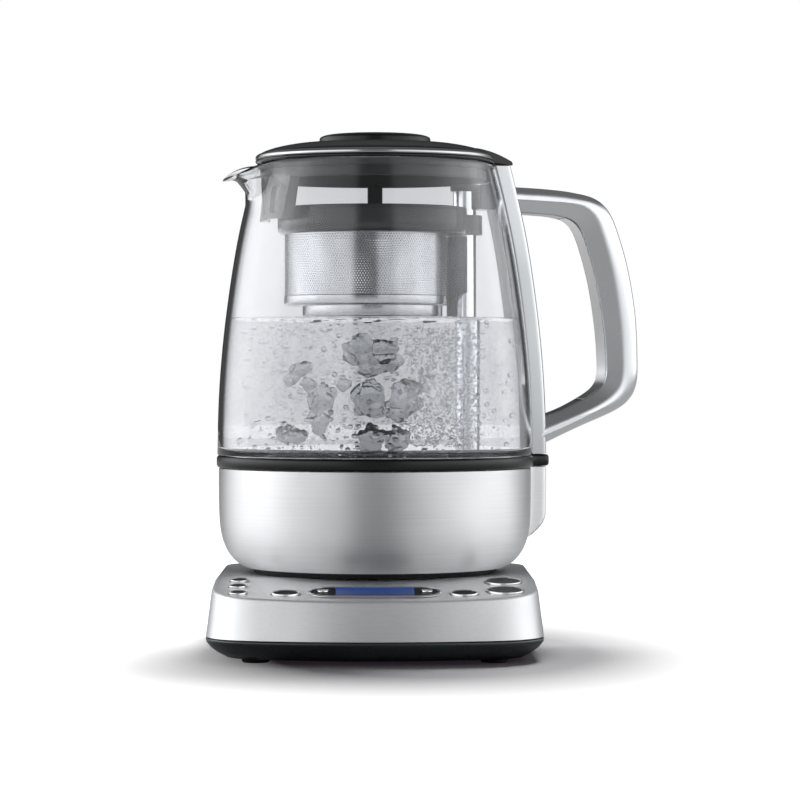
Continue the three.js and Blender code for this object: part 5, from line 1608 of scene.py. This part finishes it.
# Boiling water: a prop, since what the jug holds isn't part of it; it rides with the jug's body
waterSizes = {
    "level": 166.2,
    "clear": 0.25,
    "bubbles": 2600,
    "spray": (404, 478, 328, 446),
    "sprayBubbles": 2600,
    "seed": 7,
    "bubbleReach": 70,
    "smallest": 0.35,
    "spread": 1.3,
    "roundFrom": 0.8,
    "sprayDepth": (-15, -40),
    "spraySmallest": 0.25,
    "spraySpread": 0.4,
    "voxel": 0.9,
    "quickVoxel": 2,
    "ripple": 6,
}


def makeWater():
    foot = topOf("heating_plate") + gap
    level, clear = waterSizes["level"], waterSizes["clear"]
    neck = glassSizes["neck"] - glassSizes["wall"] - clear
    edge = glassInner(level) - clear
    profile = [(0, foot), (neck, foot), (neck, glassFoot - 1.5)]
    profile += [(glassInner(z) - clear, z) for z in between(glassFoot + 3, level - 1.2, 12)]
    profile += [(edge, level + 0.5), (edge - 1, level - 0.1)]
    rings = [circle(r, z, 144) for r, z in profile]
    for share in between(0.96, 0.02, 24):
        calm = min(1, (1 - share) * 8)
        ring = []
        for x, y, z in circle(edge * share, level, 144):
            swell = math.sin(x * 0.21 + 1) * math.cos(y * 0.17) + 0.5 * math.sin(x * 0.5 + y * 0.43)
            ring.append((x, y, z - 0.3 + 0.7 * swell * calm))
        rings.append(ring)
    rings.append(circle(0, level, 144))
    return paint(loft("water", rings, sharpAngle=60), waterMaterial())


# Cloudy water: broad soft patches under a fine speckle
def waterMaterial():
    inputs = {"Transmission Weight": 1.0, "IOR": 1.03, "Roughness": 0.0}
    material, tree, shader = newMaterial("boilingWater", inputs)
    place = addNode(tree, "TexCoord").outputs["Object"]
    cloud = rangeOf(tree, noiseNode(tree, place, 34.0, 4.0, 0.7), 0, 1, 0.35, 0.7)
    speckle = rangeOf(tree, noiseNode(tree, place, 900.0, 2.0, 0.7), 0, 1, 0.4, 0.62)
    soft = mixColour(tree, cloud, (0.76, 0.765, 0.775), (0.93, 0.932, 0.937))
    fine = mixColour(tree, speckle, (0.84, 0.845, 0.855), (1.0, 1.0, 1.0))
    feed(tree, mixColour(tree, 1.0, soft, fine, "MULTIPLY"), shader.inputs["Base Color"])
    return material


# The points and faces of a unit ball
def ballShape(detail):
    body = bmesh.new()
    bmesh.ops.create_icosphere(body, subdivisions=detail, radius=1)
    points = [vert.co.copy() for vert in body.verts]
    faces = [[vert.index for vert in face.verts] for face in body.faces]
    body.free()
    return points, faces


ballShapes = {detail: ballShape(detail) for detail in (1, 2, 3)}


# Adds one bubble to lists of points and faces
def blob(points, faces, middle, radius, stretch=0.9, wobble=0.0, seed=0.0, detail=1):
    start = len(points)
    ballPoints, ballFaces = ballShapes[detail]
    for d in ballPoints:
        swell = 0
        if wobble:
            swell = math.sin(d.x * 5 + seed) * math.sin(d.y * 4 + seed * 2)
            swell += 0.6 * math.sin(d.z * 7 + seed * 3)
        size = radius * (1 + wobble * swell)
        points.append((middle[0] + d.x * size, middle[1] + d.y * size, middle[2] + d.z * size * stretch))
    faces += [[start + i for i in face] for face in ballFaces]


viewSizes = {
    "distance": 1575,
    "eyeHeight": 140.2,
    "lens": 139.5,
    "horizonPixel": 371,
    "axisPixel": 375,
    "mmPerPixel": 0.508,
    "framePixels": 800,
    "sensor": 36,
    "clipStart": 50,
    "clipEnd": 60000,
}


# Where a pixel of the photo's view lies, at a depth behind the jug's axis
def pixelPlace(px, py, depth):
    scale = viewSizes["mmPerPixel"] * (1 + depth / viewSizes["distance"])
    x = (px - viewSizes["axisPixel"]) * scale
    return x, depth, viewSizes["eyeHeight"] + (viewSizes["horizonPixel"] - py) * scale


# Large bubbles in the photograph: pixel x, pixel y, radius in mm, stretch, depth from the jug's axis
largeBubbles = [
    (362, 349, 8.5, 0.8, -30),
    (383, 352, 8, 0.75, -34),
    (372, 366, 7.5, 0.8, -26),
    (392, 362, 5, 0.9, -22),
    (354, 358, 5, 0.8, -30),
    (369, 398, 8, 1.1, -36),
    (376, 410, 5, 0.9, -34),
    (404, 398, 8, 1.25, -28),
    (398, 412, 5.5, 0.9, -30),
    (323, 402, 6, 1.3, -18),
    (321, 421, 5.5, 1.2, -14),
    (371, 438, 6.5, 1.1, -30),
    (397, 440, 6, 1, -26),
    (303, 369, 5, 0.8, -8),
    (293, 380, 3.6, 0.9, -6),
    (310, 385, 3.6, 0.9, -12),
    (289, 434, 4.5, 1, -10),
    (300, 436, 4, 1, -6),
    (345, 384, 3.4, 0.9, -26),
    (333, 396, 3, 1, -22),
]


# Large bubbles run together into knobbly clusters
def makeClusters():
    points, faces = [], []
    for number, (px, py, radius, stretch, depth) in enumerate(largeBubbles):
        blob(points, faces, pixelPlace(px, py, depth), radius, stretch, 0.14, number * 1.7, 3)
    clusters = meshOf("clusters", points, faces)
    remesh = clusters.modifiers.new("run together", "REMESH")
    remesh.mode = "VOXEL"
    remesh.voxel_size = waterSizes["voxel"] * mm
    ripple = bpy.data.textures.new("ripple", "CLOUDS")
    ripple.noise_scale = 0.005
    lump = clusters.modifiers.new("ripple", "DISPLACE")
    lump.texture = ripple
    lump.strength = waterSizes["ripple"] * mm
    lump.mid_level = 0.5
    smooth = clusters.modifiers.new("smooth", "SMOOTH")
    smooth.iterations = 5
    bpy.context.view_layer.update()
    applyModifiers(clusters)
    clusters.data.shade_smooth()
    return paint(clusters, clearGlass("clusterFilm", (0.56, 0.57, 0.59), 1.12, 0.2))


def makeBubbles():
    sizes = waterSizes
    random.seed(sizes["seed"])
    points, faces = [], []
    low, high = topOf("heating_plate") + 4, sizes["level"] - 1.5
    share = 1
    for number in range(round(sizes["bubbles"] * share)):
        reach = math.sqrt(random.random()) * sizes["bubbleReach"]
        a = random.random() * math.tau
        z = low + (high - low) * random.random()
        size = sizes["smallest"] + sizes["spread"] * random.random() ** 5
        detail = 1 if size < sizes["roundFrom"] else 2
        blob(points, faces, (reach * math.cos(a), reach * math.sin(a), z), size, detail=detail)
    left, right, top, bottom = sizes["spray"]
    near, deep = sizes["sprayDepth"]
    for number in range(round(sizes["sprayBubbles"] * share)):
        px = left + (right - left) * random.random()
        py = top + (bottom - top) * random.random()
        place = pixelPlace(px, py, near + deep * random.random())
        blob(points, faces, place, sizes["spraySmallest"] + sizes["spraySpread"] * random.random())
    bubbles = meshOf("bubbles", points, faces)
    bubbles.data.shade_smooth()
    return paint(bubbles, clearGlass("bubbleFilm", (0.8, 0.81, 0.825), 1.2, 0.05))


for prop, angle in ((makeWater(), jugAngle), (makeClusters(), 0), (makeBubbles(), 0)):
    prop.location = jugAxis
    prop.rotation_euler.z = angle
    prop.parent = frame["bodies"]["jug"]
print("water poured")

# Stage: pale floor with a painted shadow round the base over the lamp's real one, white backdrop by light
# path, soft light
stageSizes = {
    "floor": 6000,
    "floorColour": (0.93, 0.93, 0.935),
    "shadowColour": (0.014, 0.01, 0.015),
    "near": 0.125,  # metres from the middle of the base, where the shadow is full
    "far": 0.265,
    "squeeze": (1.55, 1, 0),
    "shift": (0, 0.022, 0),
    "glossyShare": 0.38,
    "throughShare": 0.86,
}


def makeFloor():
    sizes = stageSizes
    half, plain = sizes["floor"], sizes["floorColour"]
    floor = meshOf("floor", [(x * half, y * half, 0) for x, y in squareCorners], [(0, 1, 2, 3)])
    material, tree, shader = newMaterial("paleFloor", {"Roughness": 0.9, "Specular IOR Level": 0.0})
    path = addNode(tree, "LightPath").outputs
    inputs = {0: addNode(tree, "TexCoord").outputs["Object"], 1: sizes["squeeze"], 2: sizes["shift"]}
    squeezed = addNode(tree, "VectorMath", inputs, operation="MULTIPLY_ADD").outputs[0]
    reach = addNode(tree, "VectorMath", {0: squeezed}, operation="LENGTH").outputs["Value"]
    # Painted shadow: near the base the floor's glow fades to the shadow colour, laid over the lamp's real
    # shadow
    paintedShadowFade = rangeOf(tree, reach, 0.0, 1.0, sizes["near"], sizes["far"])
    mirrored = mathNode(tree, "MULTIPLY", path["Is Glossy Ray"], sizes["glossyShare"])
    through = mathNode(tree, "MULTIPLY", path["Is Transmission Ray"], sizes["throughShare"])
    plainly = mathNode(tree, "ADD", path["Is Camera Ray"], through)
    indirect = mathNode(tree, "ADD", path["Is Glossy Ray"], path["Is Transmission Ray"])
    dim = mathNode(tree, "MINIMUM", indirect, 1.0)
    feedAll(tree, shader, {
        "Base Color": mixColour(tree, dim, plain, toned(plain, sizes["glossyShare"])),
        "Emission Color": mixColour(tree, paintedShadowFade, sizes["shadowColour"], (1.0, 1.0, 1.0)),
        "Emission Strength": mathNode(tree, "ADD", plainly, mirrored),
    })
    paint(floor, material)


# Studio walls as seen by metal: degrees round from the viewer's side, and brightness
studioWalls = [
    (-180, 0.05),
    (-150, 0.08),
    (-130, 1.9),
    (-116, 2.9),
    (-84, 3.5),
    (-60, 2.3),
    (-28, 1.95),
    (-20, 1.75),
    (-13.5, 0.36),
    (13.5, 0.36),
    (20.5, 1.6),
    (30, 1.75),
    (60, 2.2),
    (84, 3.0),
    (98, 2.3),
    (111, 2.5),
    (122, 1.7),
    (134, 0.6),
    (152, 0.08),
    (180, 0.05),
]
studioSizes = {
    "ceiling": (0.2, 0.2, 0.2),
    "ceilingFoot": 0.3,
    "ceilingFull": 0.62,
    "screenFrom": 0.3,
    "screenTo": 0.55,
    "facingFrom": 0.3,
    "facingTo": 0.6,
    "cardShare": 0.25,
    "fill": (0.06, 0.059, 0.06),
}


def makeWorld():
    sizes = studioSizes
    world = bpy.data.worlds.new("studio")
    bpy.context.scene.world = world
    world.use_nodes = True
    tree = world.node_tree
    tree.nodes.clear()
    output = addNode(tree, "OutputWorld")
    axes = axesOf(tree, "Generated")
    angle = mathNode(tree, "ARCTAN2", axes["X"], mathNode(tree, "MULTIPLY", axes["Y"], -1.0))
    share = mathNode(tree, "ADD", mathNode(tree, "DIVIDE", angle, math.tau), 0.5)
    ramp = addNode(tree, "ValToRGB", {0: share})
    marks = ramp.color_ramp.elements
    for number, (degrees, value) in enumerate(studioWalls):
        spot = degrees / 360 + 0.5
        mark = marks[number] if number < 2 else marks.new(spot)
        mark.position = spot
        mark.color = (value * 0.99, value, value * 1.015, 1)
    up = rangeOf(tree, axes["Z"], 0, 1, sizes["ceilingFoot"], sizes["ceilingFull"])
    dome = mixColour(tree, up, ramp.outputs["Color"], sizes["ceiling"])
    # Behind the object hangs a white screen, with dark card on both sides of it for the glass edges
    side = mathNode(tree, "ABSOLUTE", axes["X"])
    screen = rangeOf(tree, side, 1.0, sizes["cardShare"], sizes["screenFrom"], sizes["screenTo"])
    facing = rangeOf(tree, axes["Y"], sizes["cardShare"], 1.0, sizes["facingFrom"], sizes["facingTo"])
    behind = mathNode(tree, "MULTIPLY", screen, facing)
    path = addNode(tree, "LightPath").outputs
    mirrored = mathNode(tree, "MINIMUM", path["Glossy Depth"], 1.0)
    scattered = mathNode(tree, "MINIMUM", path["Diffuse Depth"], 1.0)
    through = mixColour(tree, mirrored, behind, dome)
    through = mixColour(tree, scattered, through, sizes["fill"])
    lit = mixColour(tree, path["Is Glossy Ray"], sizes["fill"], dome)
    lit = mixColour(tree, path["Is Transmission Ray"], lit, through)
    lit = mixColour(tree, path["Is Camera Ray"], lit, (1.0, 1.0, 1.0))
    background = addNode(tree, "Background", {"Color": lit})
    feed(tree, background.outputs[0], output.inputs["Surface"])


lampSizes = {"place": (340, 740, 1450), "aim": (0, -50, 0), "side": 600, "watts": 15}


def makeLamp():
    sizes = lampSizes
    lamp = bpy.data.lights.new("overheadLight", "AREA")
    lamp.shape = "RECTANGLE"
    lamp.size = sizes["side"] * mm
    lamp.size_y = sizes["side"] * mm
    lamp.energy = sizes["watts"]
    light = addObject("overheadLight", lamp)
    place, aim = Vector(sizes["place"]) * mm, Vector(sizes["aim"]) * mm
    light.location = place
    light.rotation_euler = (aim - place).to_track_quat("-Z", "Y").to_euler()
    light.visible_camera = False
    light.visible_glossy = False
    light.visible_transmission = False


def makeCamera():
    sizes = viewSizes
    data = bpy.data.cameras.new("photoView")
    data.sensor_width = sizes["sensor"]
    data.lens = sizes["lens"]
    data.clip_start = sizes["clipStart"] * mm
    data.clip_end = sizes["clipEnd"] * mm
    camera = addObject("photoView", data)
    camera.location = jugAxis + Vector((0, -sizes["distance"], sizes["eyeHeight"])) * mm
    pixelLens = sizes["lens"] / sizes["sensor"] * sizes["framePixels"]
    middle = sizes["framePixels"] / 2
    tilt = math.atan((middle - sizes["horizonPixel"]) / pixelLens)
    yaw = math.atan((middle - sizes["axisPixel"]) / pixelLens)
    camera.rotation_euler = (math.pi / 2 - tilt, 0, -yaw)
    bpy.context.scene.camera = camera


makeFloor()
makeWorld()
makeLamp()
makeCamera()
bpy.context.scene.view_settings.view_transform = "Standard"
print("stage lit")
